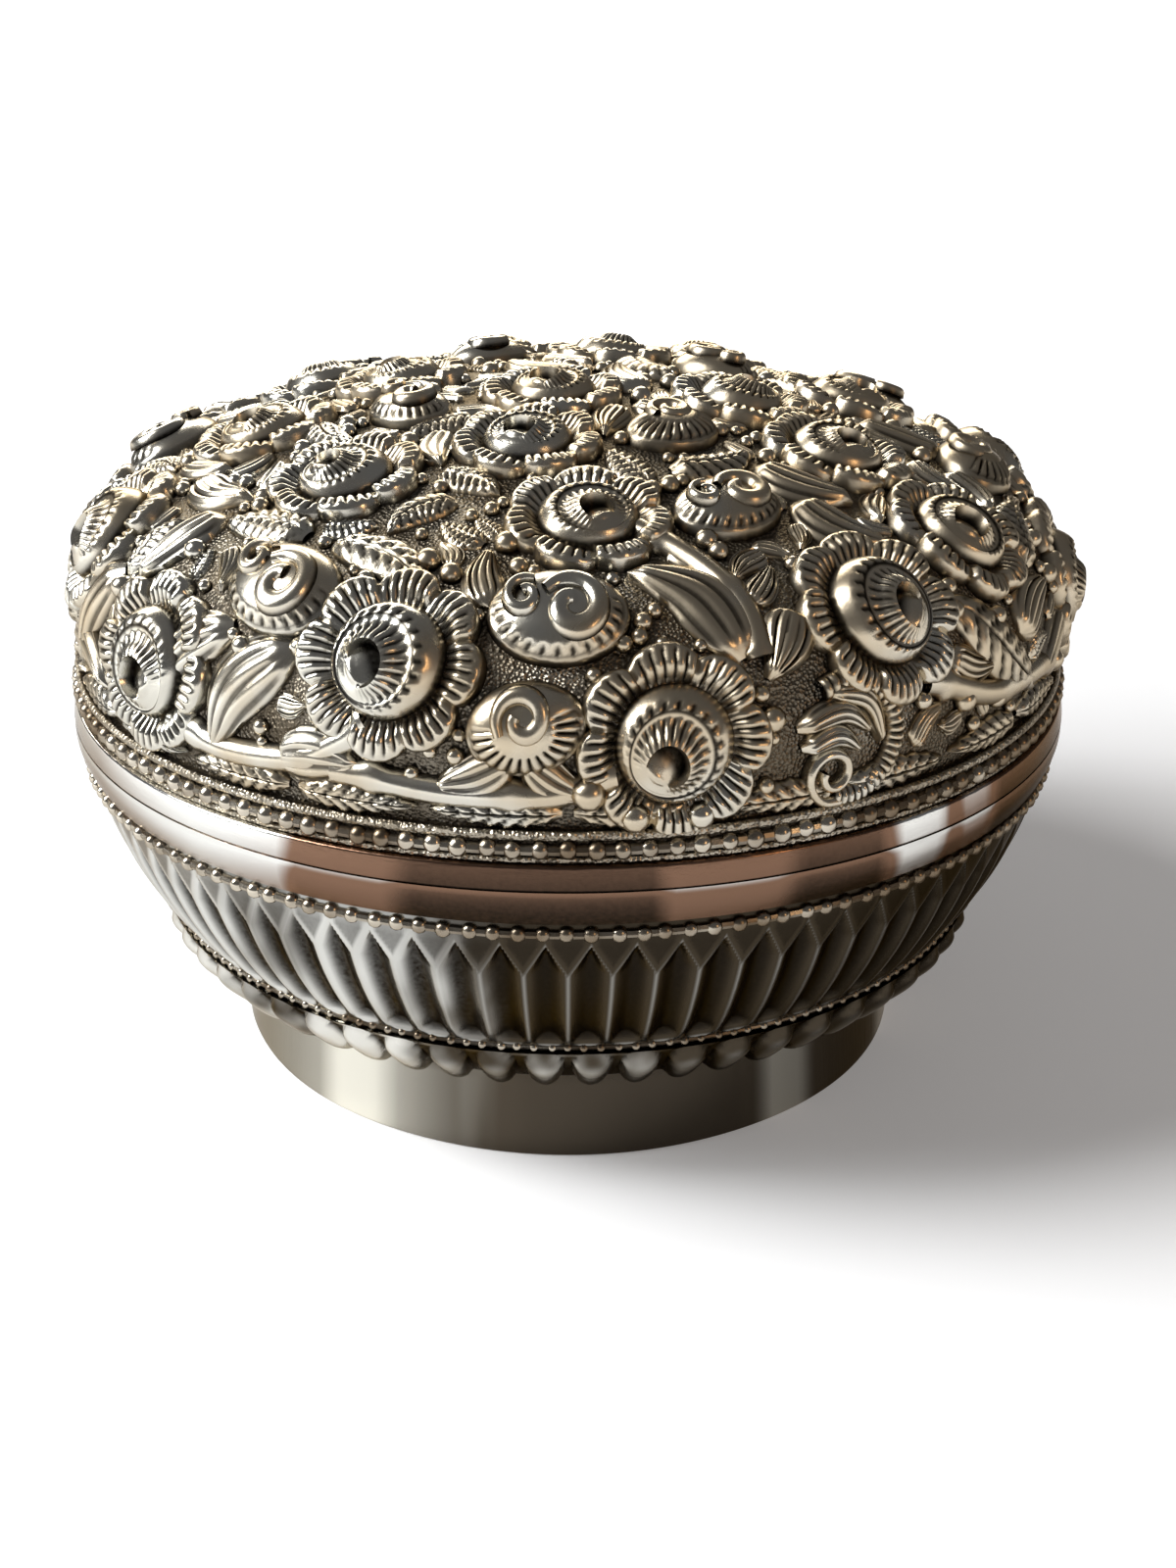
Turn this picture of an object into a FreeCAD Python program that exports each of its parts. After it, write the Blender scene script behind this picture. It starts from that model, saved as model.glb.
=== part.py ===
"""A round lidded box of raised, fluted and chased sheet metal on a plain foot ring.

Lengths are millimetres. The origin is on the box's axis at the underside of the foot, +Z is up, and
the front of the box faces -Y.
"""

import FreeCAD, Part
import Sketcher
import math
import os
import re

# The driving sizes, piece by piece from the ground up

SIZES = {
    # Shared by all pieces
    "join_height": 46.5,
    "rim_sheet": 1.0,
    "solder_gap": 0.05,
    "seat_gap": 0.3,
    "cut_overrun": 12.0,
    # Foot ring
    "foot_height": 13.0,
    "foot_inset": 1.45,
    "foot_flare": 0.9,
    "foot_sheet": 1.0,
    "foot_lip_width": 3.0,
    # Bowl
    "bowl_mouth_radius": 64.0,
    "bowl_floor_radius": 46.05,
    "bowl_side_radius": 44.0,
    "bowl_sheet": 1.5,
    # Hollow flutes round the bowl
    "flute_count": 80,
    "flute_round": 2.5,
    "flute_depth": 1.0,
    "flute_sector": 100.0,
    # Band of bosses over the foot
    "boss_band_height": 6.4,
    "boss_band_sheet": 0.8,
    "boss_count": 60,
    "boss_radius": 2.2,
    # Pearled wires
    "flute_bead_count": 176,
    "flute_bead_radius": 0.6,
    "flute_bead_rise": 2.0,
    "bowl_bead_count": 150,
    "bowl_bead_radius": 0.85,
    "bowl_bead_drop": 1.5,
    "lid_bead_count": 140,
    "lid_bead_radius": 1.0,
    "lid_bead_rise": 1.6,
    # Plain bands either side of the join
    "bowl_band_height": 4.2,
    "bowl_band_edge": 0.5,
    "bowl_band_round": 9.0,
    "lid_band_height": 2.9,
    "lid_band_taper": 0.3,
    # Collar in the bowl's mouth
    "collar_sheet": 0.9,
    "collar_depth": 4.0,
    "collar_rise": 5.0,
    "collar_lead": 0.4,
    # Lid
    "lid_sheet": 1.0,
    "lid_border_margin": 0.6,
    "lid_border_step": 1.6,
    "field_inset": 0.95,
    "field_wall_height": 5.8,
    "shoulder_radius": 17.0,
    "lid_height": 39.5,
    # Raised flowers on the lid
    "petal_count": 7,
    "rose_radius": 10.6,
    "rose_height": 2.2,
    "rose_heart_radius": 6.4,
    "rose_heart_height": 4.5,
    "bud_radius": 6.8,
    "bud_height": 3.6,
    "leaf_length": 14.0,
    "leaf_width": 8.0,
    "leaf_height": 1.5,
}

doc = FreeCAD.newDocument("round_box")
sheet = doc.addObject("Spreadsheet::Sheet", "sizes")
for row, (alias, number) in enumerate(SIZES.items(), start=1):
    sheet.set(f"A{row}", alias)
    sheet.set(f"B{row}", str(number))
    sheet.setAlias(f"B{row}", alias)
doc.recompute()


def bound(text):
    """The expression with every size's name, such as foot_height, pointed into the sheet."""
    return re.sub(r"[a-z]+(?:_[a-z]+)+", lambda name: "sizes." + name.group(), text)


def value(text):
    return float(sheet.evalExpression(bound(text)))


# Turned profiles: a closed outline of radius against height, spun about the box's axis

OUTWARD = 1
INWARD = -1


def origin_feature(body, role):
    return next(item for item in body.Origin.OriginFeatures if item.Role == role)


def arc_between(start, end, radius, bulge):
    """The short arc from start to end, swelling right of its run if OUTWARD and left if INWARD."""
    run = end - start
    left = FreeCAD.Vector(-run.y, run.x, 0).normalize()
    reach = math.sqrt(radius**2 - (run.Length / 2) ** 2)
    centre = start + run / 2 + left * (bulge * reach)
    first, last = (start, end) if bulge == OUTWARD else (end, start)
    circle = Part.Circle(centre, FreeCAD.Vector(0, 0, 1), radius)
    return Part.ArcOfCircle(circle, circle.parameter(first), circle.parameter(last))


def outline(body, name, corners, arcs=None, axis=None):
    """A closed sketch in the body's XZ plane through corners of (radius, height) expressions.

    arcs gives the corners after which the run is an arc, with its radius and swelling. axis is a pair
    of corners that also get a construction line, for a feature that turns about it.
    """
    arcs = arcs or {}
    sketch = body.newObject("Sketcher::SketchObject", name)
    sketch.AttachmentSupport = [(origin_feature(body, "XZ_Plane"), "")]
    sketch.MapMode = "FlatFace"
    points = [FreeCAD.Vector(value(radius), value(height), 0) for radius, height in corners]
    starts, ends = [], []
    for index, point in enumerate(points):
        following = points[(index + 1) % len(points)]
        if index in arcs:
            radius, bulge = arcs[index]
            edge = sketch.addGeometry(arc_between(point, following, value(radius), bulge), False)
            tie = sketch.addConstraint(Sketcher.Constraint("Radius", edge, value(radius)))
            sketch.setExpression(f"Constraints[{tie}]", bound(radius))
            starts.append((edge, 1 if bulge == OUTWARD else 2))
            ends.append((edge, 2 if bulge == OUTWARD else 1))
        else:
            edge = sketch.addGeometry(Part.LineSegment(point, following), False)
            starts.append((edge, 1))
            ends.append((edge, 2))
    for index, (radius, height) in enumerate(corners):
        sketch.addConstraint(Sketcher.Constraint("Coincident", *ends[index - 1], *starts[index]))
        for kind, origin_axis, text in (("DistanceX", -2, radius), ("DistanceY", -1, height)):
            if text == "0":
                sketch.addConstraint(Sketcher.Constraint("PointOnObject", *starts[index], origin_axis))
                continue
            tie = sketch.addConstraint(Sketcher.Constraint(kind, -1, 1, *starts[index], value(text)))
            sketch.setExpression(f"Constraints[{tie}]", bound(text))
    if axis:
        line = sketch.addGeometry(Part.LineSegment(points[axis[0]], points[axis[1]]), True)
        for end, corner in enumerate(axis, start=1):
            sketch.addConstraint(Sketcher.Constraint("Coincident", line, end, *starts[corner]))
    return sketch


def new_body(label):
    body = doc.addObject("PartDesign::Body", label)
    body.Label = label
    return body


def spin(body, name, sketch, axis="V_Axis", kind="PartDesign::Revolution"):
    feature = body.newObject(kind, name)
    feature.Profile = sketch
    feature.ReferenceAxis = (sketch, [axis])
    feature.Angle = 360
    return feature


def turned(label, corners, arcs=None):
    """A piece of one spun outline."""
    body = new_body(label)
    spin(body, label + "_turned", outline(body, label + "_outline", corners, arcs))
    return body


def ring_of(body, feature, count):
    """Repeats the feature round the box's axis."""
    pattern = body.newObject("PartDesign::PolarPattern", feature.Name + "_ring")
    pattern.Originals = [feature]
    pattern.Axis = (origin_feature(body, "Z_Axis"), [""])
    pattern.Angle = 360
    pattern.setExpression("Occurrences", bound(count))
    body.Tip = pattern
    return pattern


def dome_sketch(body, name, foot, lean, radius):
    """A quarter disc standing on the point foot, for a half ball that faces along lean."""
    (foot_r, foot_z), (lean_r, lean_z) = foot, lean
    corners = [
        (foot_r, foot_z),
        (f"{foot_r} + {radius} * {lean_z}", f"{foot_z} - {radius} * {lean_r}"),
        (f"{foot_r} + {radius} * {lean_r}", f"{foot_z} + {radius} * {lean_z}"),
    ]
    return outline(body, name, corners, {1: (radius, OUTWARD)}, axis=(0, 2))


def bead_row(label, foot, lean, radius, count):
    """A ring of half balls, each a solid of its own, standing on the sheet behind them."""
    body = new_body(label)
    body.AllowCompound = True
    bead = spin(body, label + "_bead", dome_sketch(body, label + "_outline", foot, lean, radius), "Axis0")
    ring_of(body, bead, count)
    return body


# Foot ring: a flared strip with its lower edge turned in to a flat lip

foot_top = "(bowl_floor_radius - foot_inset)"
foot_base = f"({foot_top} + foot_flare)"
foot_lip = f"{foot_base} - foot_lip_width"
foot_ring = turned(
    "foot_ring",
    [
        (foot_lip, "0"),
        (foot_base, "0"),
        (foot_top, "foot_height"),
        (f"{foot_top} - foot_sheet", "foot_height"),
        (f"{foot_base} - foot_sheet", "foot_sheet"),
        (foot_lip, "foot_sheet"),
    ],
)

# Bowl: a flat floor and a side that swells in one arc to the mouth, with a ledge for the collar

side_run_r = "(bowl_mouth_radius - bowl_floor_radius)"
side_run_z = "(join_height - foot_height)"
side_chord = f"sqrt({side_run_r}^2 + {side_run_z}^2)"
side_reach = f"sqrt(bowl_side_radius^2 - {side_chord}^2 / 4)"
side_centre_r = f"((bowl_mouth_radius + bowl_floor_radius) / 2 - {side_reach} * {side_run_z} / {side_chord})"
side_centre_z = f"((join_height + foot_height) / 2 + {side_reach} * {side_run_r} / {side_chord})"


def bowl_side(height, outset="0"):
    """The radius of the bowl's side at a height, or of the surface that lies outset from it."""
    reach = f"sqrt((bowl_side_radius + {outset})^2 - ({side_centre_z} - ({height}))^2)"
    return f"({side_centre_r} + {reach})"


def side_lean(height):
    """The direction, as radius and height, in which the bowl's side faces at a height."""
    return (
        f"(({bowl_side(height)} - {side_centre_r}) / bowl_side_radius)",
        f"((({height}) - {side_centre_z}) / bowl_side_radius)",
    )


floor_top = "foot_height + bowl_sheet"
ledge = "join_height - collar_depth"
bowl_inside = "bowl_mouth_radius - bowl_sheet"
bowl_shell = turned(
    "bowl_shell",
    [
        ("0", "foot_height"),
        ("bowl_floor_radius", "foot_height"),
        ("bowl_mouth_radius", "join_height"),
        (bowl_inside, "join_height"),
        (bowl_inside, ledge),
        (bowl_side(ledge, "0 - bowl_sheet"), ledge),
        (bowl_side(floor_top, "0 - bowl_sheet"), floor_top),
        ("0", floor_top),
    ],
    {1: ("bowl_side_radius", OUTWARD), 5: ("bowl_side_radius - bowl_sheet", INWARD)},
)

# Flutes between the two bead rows: each is scooped by a round bar laid along the side, so it runs out
# to a point at both ends

strip_top = "(foot_height + boss_band_height)"
band_foot = "(join_height - bowl_band_height)"
flute_bead_height = f"({strip_top} + flute_bead_rise)"
bowl_bead_height = f"({band_foot} - bowl_bead_drop)"
flute_middle_share = 0.44
flute_height = f"({flute_bead_height} + {flute_middle_share} * ({bowl_bead_height} - {flute_bead_height}))"
flute_r = bowl_side(flute_height)
lean_r, lean_z = side_lean(flute_height)
bar_lift = "(flute_round - flute_depth)"
bar_half = "sqrt(2 * bowl_side_radius * flute_depth)"
flute_corners = []
for lift, end in ((bar_lift, 1), (bar_lift, -1), ("(0 - flute_depth)", -1), ("(0 - flute_depth)", 1)):
    along = f"{end} * {bar_half}"
    flute_corners.append(
        (
            f"{flute_r} + {lift} * {lean_r} - {along} * {lean_z}",
            f"{flute_height} + {lift} * {lean_z} + {along} * {lean_r}",
        )
    )
flute_sketch = outline(bowl_shell, "flute_outline", flute_corners, axis=(0, 1))
flute = spin(bowl_shell, "flute", flute_sketch, "Axis0", "PartDesign::Groove")
flute.Midplane = True
flute.setExpression("Angle", bound("flute_sector"))
ring_of(bowl_shell, flute, "flute_count")

# Band of bosses: a strip that follows the bowl's side above the foot, with half balls raised in it

strip_back = "solder_gap"
strip_front = "(solder_gap + boss_band_sheet)"
foot_boss_band = turned(
    "foot_boss_band",
    [
        (bowl_side("foot_height", strip_back), "foot_height"),
        (bowl_side("foot_height", strip_front), "foot_height"),
        (bowl_side(strip_top, strip_front), strip_top),
        (bowl_side(strip_top, strip_back), strip_top),
    ],
    {1: (f"bowl_side_radius + {strip_front}", OUTWARD), 3: (f"bowl_side_radius + {strip_back}", INWARD)},
)
boss_height = "(foot_height + boss_band_height / 2)"
boss_foot = (bowl_side(boss_height, "(solder_gap + boss_band_sheet / 2)"), boss_height)
boss_sketch = dome_sketch(foot_boss_band, "boss_outline", boss_foot, side_lean(boss_height), "boss_radius")
boss = spin(foot_boss_band, "boss", boss_sketch, "Axis0")
ring_of(foot_boss_band, boss, "boss_count")

# Pearled wires below and above the flutes

flute_bead_row = bead_row(
    "flute_bead_row",
    (bowl_side(flute_bead_height, "solder_gap"), flute_bead_height),
    side_lean(flute_bead_height),
    "flute_bead_radius",
    "flute_bead_count",
)
bowl_bead_row = bead_row(
    "bowl_bead_row",
    (bowl_side(bowl_bead_height, "solder_gap"), bowl_bead_height),
    side_lean(bowl_bead_height),
    "bowl_bead_radius",
    "bowl_bead_count",
)

# Rounded band round the bowl's mouth, and the upright collar inside it that centres the lid

rim_radius = "(bowl_mouth_radius + rim_sheet)"
bowl_rim_band = turned(
    "bowl_rim_band",
    [
        (bowl_side(band_foot, "solder_gap"), band_foot),
        (bowl_side(band_foot, "bowl_band_edge"), band_foot),
        (rim_radius, "join_height"),
        (bowl_side("join_height", "solder_gap"), "join_height"),
    ],
    {1: ("bowl_band_round", OUTWARD), 3: ("bowl_side_radius + solder_gap", INWARD)},
)
collar_outside = "bowl_mouth_radius - bowl_sheet - solder_gap"
collar_inside = f"{collar_outside} - collar_sheet"
collar_top = "join_height + collar_rise"
inner_collar = turned(
    "inner_collar",
    [
        (collar_inside, ledge),
        (collar_outside, ledge),
        (collar_outside, f"{collar_top} - collar_lead"),
        (f"{collar_outside} - collar_lead", collar_top),
        (collar_inside, collar_top),
    ],
)

# Lid band: a plain strip round the lid's lower edge, outside the wall that slips over the collar

lid_wall = f"({collar_outside} + seat_gap + lid_sheet)"
lid_band_inside = f"({lid_wall} + solder_gap)"
lid_band_top = "(join_height + lid_band_height)"
lid_rim_band = turned(
    "lid_rim_band",
    [
        (lid_band_inside, "join_height"),
        (rim_radius, "join_height"),
        (f"{rim_radius} - lid_band_taper", lid_band_top),
        (lid_band_inside, lid_band_top),
    ],
)
lid_bead_height = f"({lid_band_top} + lid_bead_rise)"
lid_bead_row = bead_row(
    "lid_bead_row",
    (lid_band_inside, lid_bead_height),
    ("1", "0"),
    "lid_bead_radius",
    "lid_bead_count",
)

# Lid dome: border wall, flower field wall, shoulder arc and crown arc, which meet smoothly

border_top = f"({lid_bead_height} + lid_bead_radius + lid_border_margin)"
field_foot = f"({border_top} + lid_border_step)"
field_radius = f"({lid_wall} - field_inset)"
shoulder_r = f"({field_radius} - shoulder_radius)"
shoulder_z = f"({field_foot} + field_wall_height)"
crown_rise = f"(join_height + lid_height - {shoulder_z})"
crown_radius = (
    f"(({shoulder_r}^2 + {crown_rise}^2 - shoulder_radius^2) / (2 * ({crown_rise} - shoulder_radius)))"
)
crown_z = f"(join_height + lid_height - {crown_radius})"


def field_corners(inset):
    """The outline of the flower field, inset from its outer face, from its foot up to the crown."""
    meeting_share = f"(({crown_radius} - {inset}) / ({crown_radius} - shoulder_radius))"
    return [
        (f"{field_radius} - {inset}", field_foot),
        (f"{field_radius} - {inset}", shoulder_z),
        (f"{meeting_share} * {shoulder_r}", f"{crown_z} + {meeting_share} * ({shoulder_z} - {crown_z})"),
        ("0", f"join_height + lid_height - {inset}"),
    ]


def filled_dome(label, inset, below):
    """The dome filled solid, inset from its outer face, on the outline of its border or just the field."""
    face = below + field_corners(inset)
    corners = [("0", face[0][1])] + face
    shoulder = len(corners) - 3
    arcs = {
        shoulder: (f"shoulder_radius - {inset}", OUTWARD),
        shoulder + 1: (f"{crown_radius} - {inset}", OUTWARD),
    }
    return turned(label, corners, arcs)


def border_corners(inset, foot):
    return [(f"{lid_wall} - {inset}", foot), (f"{lid_wall} - {inset}", border_top)]


dome_form = filled_dome("dome_form", "0", border_corners("0", "join_height"))
dome_hollow = filled_dome(
    "dome_hollow", "lid_sheet", border_corners("lid_sheet", "join_height - cut_overrun")
)

# Raised flowers: roses are lobed rings that follow the dome, round a domed heart, and buds are mounds.
# Each place is in degrees round from the front, then the share of the way down the field from the
# crown, then the flower's size as a share of the full size

rose_shares = [
    (10, 0.885, 1.0),
    (-18, 0.80, 1.0),
    (35, 0.765, 1.0),
    (56, 0.70, 0.9),
    (80, 0.885, 1.0),
    (103, 0.77, 1.0),
    (126, 0.885, 1.0),
    (149, 0.77, 1.0),
    (172, 0.885, 1.0),
    (195, 0.77, 1.0),
    (218, 0.885, 1.0),
    (241, 0.77, 1.0),
    (264, 0.885, 1.0),
    (288, 0.77, 1.0),
    (312, 0.88, 1.0),
    (3, 0.53, 0.9),
    (60, 0.47, 0.9),
    (105, 0.49, 0.9),
    (150, 0.49, 0.9),
    (195, 0.49, 0.9),
    (240, 0.49, 0.9),
    (280, 0.49, 0.9),
    (318, 0.485, 0.9),
    (-11, 0.31, 0.85),
    (75, 0.28, 0.85),
    (165, 0.28, 0.85),
    (255, 0.28, 0.85),
    (-13, 0.10, 0.85),
]
bud_shares = [
    (-1, 0.725, 1.0),
    (-33, 0.725, 1.0),
    (-4, 0.875, 0.8),
    (25, 0.53, 0.9),
    (82, 0.66, 0.9),
    (126, 0.67, 1.0),
    (172, 0.67, 1.0),
    (218, 0.67, 1.0),
    (264, 0.67, 1.0),
    (31, 0.30, 0.8),
    (120, 0.28, 0.8),
    (210, 0.28, 0.8),
    (300, 0.28, 0.8),
]

# Leaves: a place as above, the way the tip points in degrees right of the crown, and the length and
# width as shares of the full ones. First those at the front, then the ones that repeat round the back

leaf_shares = [
    (13, 0.72, -41, 1.08, 1.0),
    (-33.5, 0.885, 216, 1.18, 1.05),
    (-42, 0.86, 223, 1.07, 0.85),
    (-22.5, 0.665, 115, 1.17, 0.78),
    (40, 0.61, 160, 0.85, 0.95),
    (53, 0.87, 134, 1.5, 0.98),
    (22, 0.78, -23, 0.66, 0.85),
    (-63, 0.87, 205, 1.1, 0.98),
    (28, 0.915, 180, 0.9, 1.4),
]
leaf_shares += [(degrees, 0.535, 0, 0.8, 0.9) for degrees in (82, 127, 172, 217, 260)]
leaf_shares += [(degrees, 0.405, 90, 0.8, 0.7) for degrees in (31, 120, 210, 300)]
for degrees in (103, 149, 195, 241, 288):
    leaf_shares += [(degrees - 8.5, 0.935, -105, 0.95, 0.7), (degrees + 8.5, 0.935, 105, 0.95, 0.7)]

crown_size = value(crown_radius)
shoulder_size = value("shoulder_radius")
shoulder_turn = math.asin(value(shoulder_r) / (crown_size - shoulder_size))
crown_slope = crown_size * shoulder_turn
shoulder_slope = shoulder_size * (math.pi / 2 - shoulder_turn)
wall_slope = value("field_wall_height")
field_slope = crown_slope + shoulder_slope + wall_slope


def dome_spot(degrees, share):
    """The point on the dome's face at a place in the flower field, and the way the face looks there."""
    run = share * field_slope
    if run < crown_slope:
        turn = run / crown_size
        radius, height, swell = 0, value(crown_z), crown_size
    elif run < crown_slope + shoulder_slope:
        turn = shoulder_turn + (run - crown_slope) / shoulder_size
        radius, height, swell = value(shoulder_r), value(shoulder_z), shoulder_size
    else:
        turn = math.pi / 2
        radius, swell = value(shoulder_r), shoulder_size
        height = value(shoulder_z) - (run - crown_slope - shoulder_slope)
    around = math.radians(degrees)
    outward = FreeCAD.Vector(math.sin(around), -math.cos(around), 0)
    upward = FreeCAD.Vector(0, 0, 1)
    facing = outward * math.sin(turn) + upward * math.cos(turn)
    return outward * radius + upward * height + facing * swell, facing


notch_share = 0.85
heart_groove_share = 0.88


def plug_root(reach):
    """How far below its spot a plug of a reach starts, so that its foot lies inside the dome."""
    return shoulder_size - math.sqrt(shoulder_size**2 - reach**2) + value("lid_sheet")


def rose_plate(place):
    """A lobed plug that stands through the dome, square to its face, with a hole for the heart."""
    degrees, share, size_share = place
    reach = size_share * value("rose_radius")
    count = round(value("petal_count"))
    root = plug_root(reach)
    tip = FreeCAD.Vector(reach, 0, -root)
    notch = FreeCAD.Vector(notch_share * reach, 0, -root)
    petals = []
    for petal in range(count):
        corners = []
        for point, step in ((notch, -0.5), (tip, 0), (notch, 0.5)):
            turn = FreeCAD.Rotation(FreeCAD.Vector(0, 0, 1), 360 * (petal + step) / count)
            corners.append(turn.multVec(point))
        petals.append(Part.Arc(*corners).toShape())
    groove = heart_groove_share * size_share * value("rose_heart_radius")
    hole = Part.Wire(Part.makeCircle(groove, FreeCAD.Vector(0, 0, -root)))
    face = Part.makeFace([Part.Wire(petals), hole], "Part::FaceMakerBullseye")
    spot, facing = dome_spot(degrees, share)
    plate = doc.addObject("Part::Feature", "rose_plate")
    plate.Shape = face.extrude(FreeCAD.Vector(0, 0, root + 2 * value("rose_height")))
    plate.Placement = FreeCAD.Placement(spot, FreeCAD.Rotation(FreeCAD.Vector(0, 0, 1), facing))
    return plate


def leaf_plate(place):
    """A plug with a leaf's pointed outline that stands through the dome, square to its face."""
    degrees, share, heading, length_share, width_share = place
    half_length = length_share * value("leaf_length") / 2
    half_width = width_share * value("leaf_width") / 2
    root = plug_root(half_length)
    tail, tip = (FreeCAD.Vector(0, end * half_length, -root) for end in (-1, 1))
    left, right = (FreeCAD.Vector(side * half_width, 0, -root) for side in (-1, 1))
    edges = [Part.Arc(tail, right, tip).toShape(), Part.Arc(tip, left, tail).toShape()]
    spot, facing = dome_spot(degrees, share)
    around, turn = math.radians(degrees), math.radians(heading)
    rightward = FreeCAD.Vector(math.cos(around), math.sin(around), 0)
    crownward = facing.cross(rightward)
    across = rightward * math.cos(turn) - crownward * math.sin(turn)
    along = crownward * math.cos(turn) + rightward * math.sin(turn)
    plate = doc.addObject("Part::Feature", "leaf_plate")
    plate.Shape = Part.Face(Part.Wire(edges)).extrude(FreeCAD.Vector(0, 0, root + 2 * value("leaf_height")))
    plate.Placement = FreeCAD.Placement(spot, FreeCAD.Rotation(across, along, facing, "ZYX"))
    return plate


def mound(name, place, radius, height):
    """A ball sunk in the dome so that it stands height proud and is radius wide at the ground."""
    degrees, share, size_share = place
    ball_radius = f"({size_share} * ({radius}^2 + {height}^2) / (2 * {height}))"
    ball = doc.addObject("Part::Sphere", name)
    ball.setExpression("Radius", bound(ball_radius))
    spot, facing = dome_spot(degrees, share)
    ball.Placement.Base = spot + facing * value(f"{size_share} * {height} - {ball_radius}")
    return ball


def trimmed(label, plates, height):
    """The plates cut off at a height above the dome, so that their tops follow it."""
    joined = doc.addObject("Part::MultiFuse", label + "_plates")
    joined.Shapes = plates
    trim = doc.addObject("Part::Common", label)
    trim.Base = joined
    trim.Tool = filled_dome(label + "_form", f"(0 - {height})", [])
    return trim


rose_petals = trimmed("rose_petals", [rose_plate(place) for place in rose_shares], "rose_height")
leaf_blades = trimmed("leaf_blades", [leaf_plate(place) for place in leaf_shares], "leaf_height")
hearts = [mound("rose_heart", place, "rose_heart_radius", "rose_heart_height") for place in rose_shares]
buds = [mound("bud", place, "bud_radius", "bud_height") for place in bud_shares]

raised_form = doc.addObject("Part::MultiFuse", "raised_form")
raised_form.Shapes = [dome_form, rose_petals, leaf_blades] + hearts + buds
lid_dome = doc.addObject("Part::Cut", "lid_dome")
lid_dome.Label = "lid_dome"
lid_dome.Base = raised_form
lid_dome.Tool = dome_hollow

# Build, test and write the pieces

doc.recompute()
pieces = [
    foot_ring,
    foot_boss_band,
    bowl_shell,
    flute_bead_row,
    bowl_bead_row,
    bowl_rim_band,
    inner_collar,
    lid_dome,
    lid_bead_row,
    lid_rim_band,
]
for item in doc.Objects:
    if "Invalid" in item.State or "Error" in item.State:
        raise RuntimeError(f"{item.Label} failed: {item.State}")
for piece in pieces:
    if piece.Shape.isNull() or not piece.Shape.isValid():
        raise RuntimeError(f"{piece.Label} has no valid shape")
if len(bowl_shell.Shape.Faces) < len(doc.bowl_shell_turned.Shape.Faces) + value("flute_count"):
    raise RuntimeError("the flutes cut nothing")

os.makedirs("parts", exist_ok=True)
for piece in pieces:
    piece.Shape.exportStep(f"parts/{piece.Label}.step")
    print(piece.Label, len(piece.Shape.Solids))
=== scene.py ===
"""A round lidded box of tarnished, silver-coloured sheet: foot ring, fluted bowl and flower-covered lid.

Lengths are metres in the frame of the solids: the origin is on the box's axis under the foot, +Z is up
and the front of the box faces -Y. Angles round the box are degrees from the front, growing to the right.
"""

import math
import random

import bmesh
import bpy
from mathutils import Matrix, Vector


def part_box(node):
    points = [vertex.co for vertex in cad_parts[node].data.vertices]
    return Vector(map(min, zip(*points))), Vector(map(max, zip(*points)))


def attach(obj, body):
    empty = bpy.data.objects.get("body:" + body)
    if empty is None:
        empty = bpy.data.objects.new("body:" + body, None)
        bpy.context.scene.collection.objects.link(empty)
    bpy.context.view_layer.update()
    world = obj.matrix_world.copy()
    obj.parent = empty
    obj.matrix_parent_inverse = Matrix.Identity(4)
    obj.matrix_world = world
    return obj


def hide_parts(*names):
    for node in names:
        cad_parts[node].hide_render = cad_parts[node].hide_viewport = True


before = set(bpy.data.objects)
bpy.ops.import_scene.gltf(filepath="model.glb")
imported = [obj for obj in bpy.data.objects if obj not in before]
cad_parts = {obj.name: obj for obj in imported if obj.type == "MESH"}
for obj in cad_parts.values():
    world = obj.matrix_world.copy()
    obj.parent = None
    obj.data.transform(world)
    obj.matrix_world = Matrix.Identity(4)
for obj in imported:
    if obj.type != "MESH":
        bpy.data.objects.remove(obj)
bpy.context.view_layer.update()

# Foot ring: a plain strip of silver sheet bent into a ring, with its lower edge turned in to stand on.
# It is soldered under the bowl; rubbing has left it smooth, with faint upright streaks.

MM = 0.001
ROUND_STEPS = 320
foot_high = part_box("foot_ring")[1]
foot_base_radius = foot_high.x
foot_height = foot_high.z
foot_top_radius = foot_base_radius - 0.9 * MM
foot_sheet = 1 * MM
foot_lip_width = 3 * MM
foot_edge_round = 0.45 * MM
foot_dent = 0.12 * MM


def spun(outline, steps):
    """A bmesh of an outline of (radius, height) points, closed or ending on the axis, spun round."""
    bm = bmesh.new()
    corners = [bm.verts.new((radius, 0, height)) for radius, height in outline]
    for start, end in zip(corners, corners[1:]):
        bm.edges.new((start, end))
    if outline[0][0] > 0:
        bm.edges.new((corners[-1], corners[0]))
    bmesh.ops.spin(
        bm,
        geom=bm.verts[:] + bm.edges[:],
        cent=(0, 0, 0),
        axis=(0, 0, 1),
        angle=2 * math.pi,
        steps=steps,
        use_merge=True,
    )
    bmesh.ops.remove_doubles(bm, verts=bm.verts, dist=0.001 * MM)
    bmesh.ops.recalc_face_normals(bm, faces=bm.faces)
    return bm


def arc(centre, radius, start, end, steps):
    """Points (radius, height) along an arc, from one angle above the horizontal to another."""
    points = []
    for step in range(steps + 1):
        angle = math.radians(start + (end - start) * step / steps)
        points.append((centre[0] + radius * math.cos(angle), centre[1] + radius * math.sin(angle)))
    return points


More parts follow.
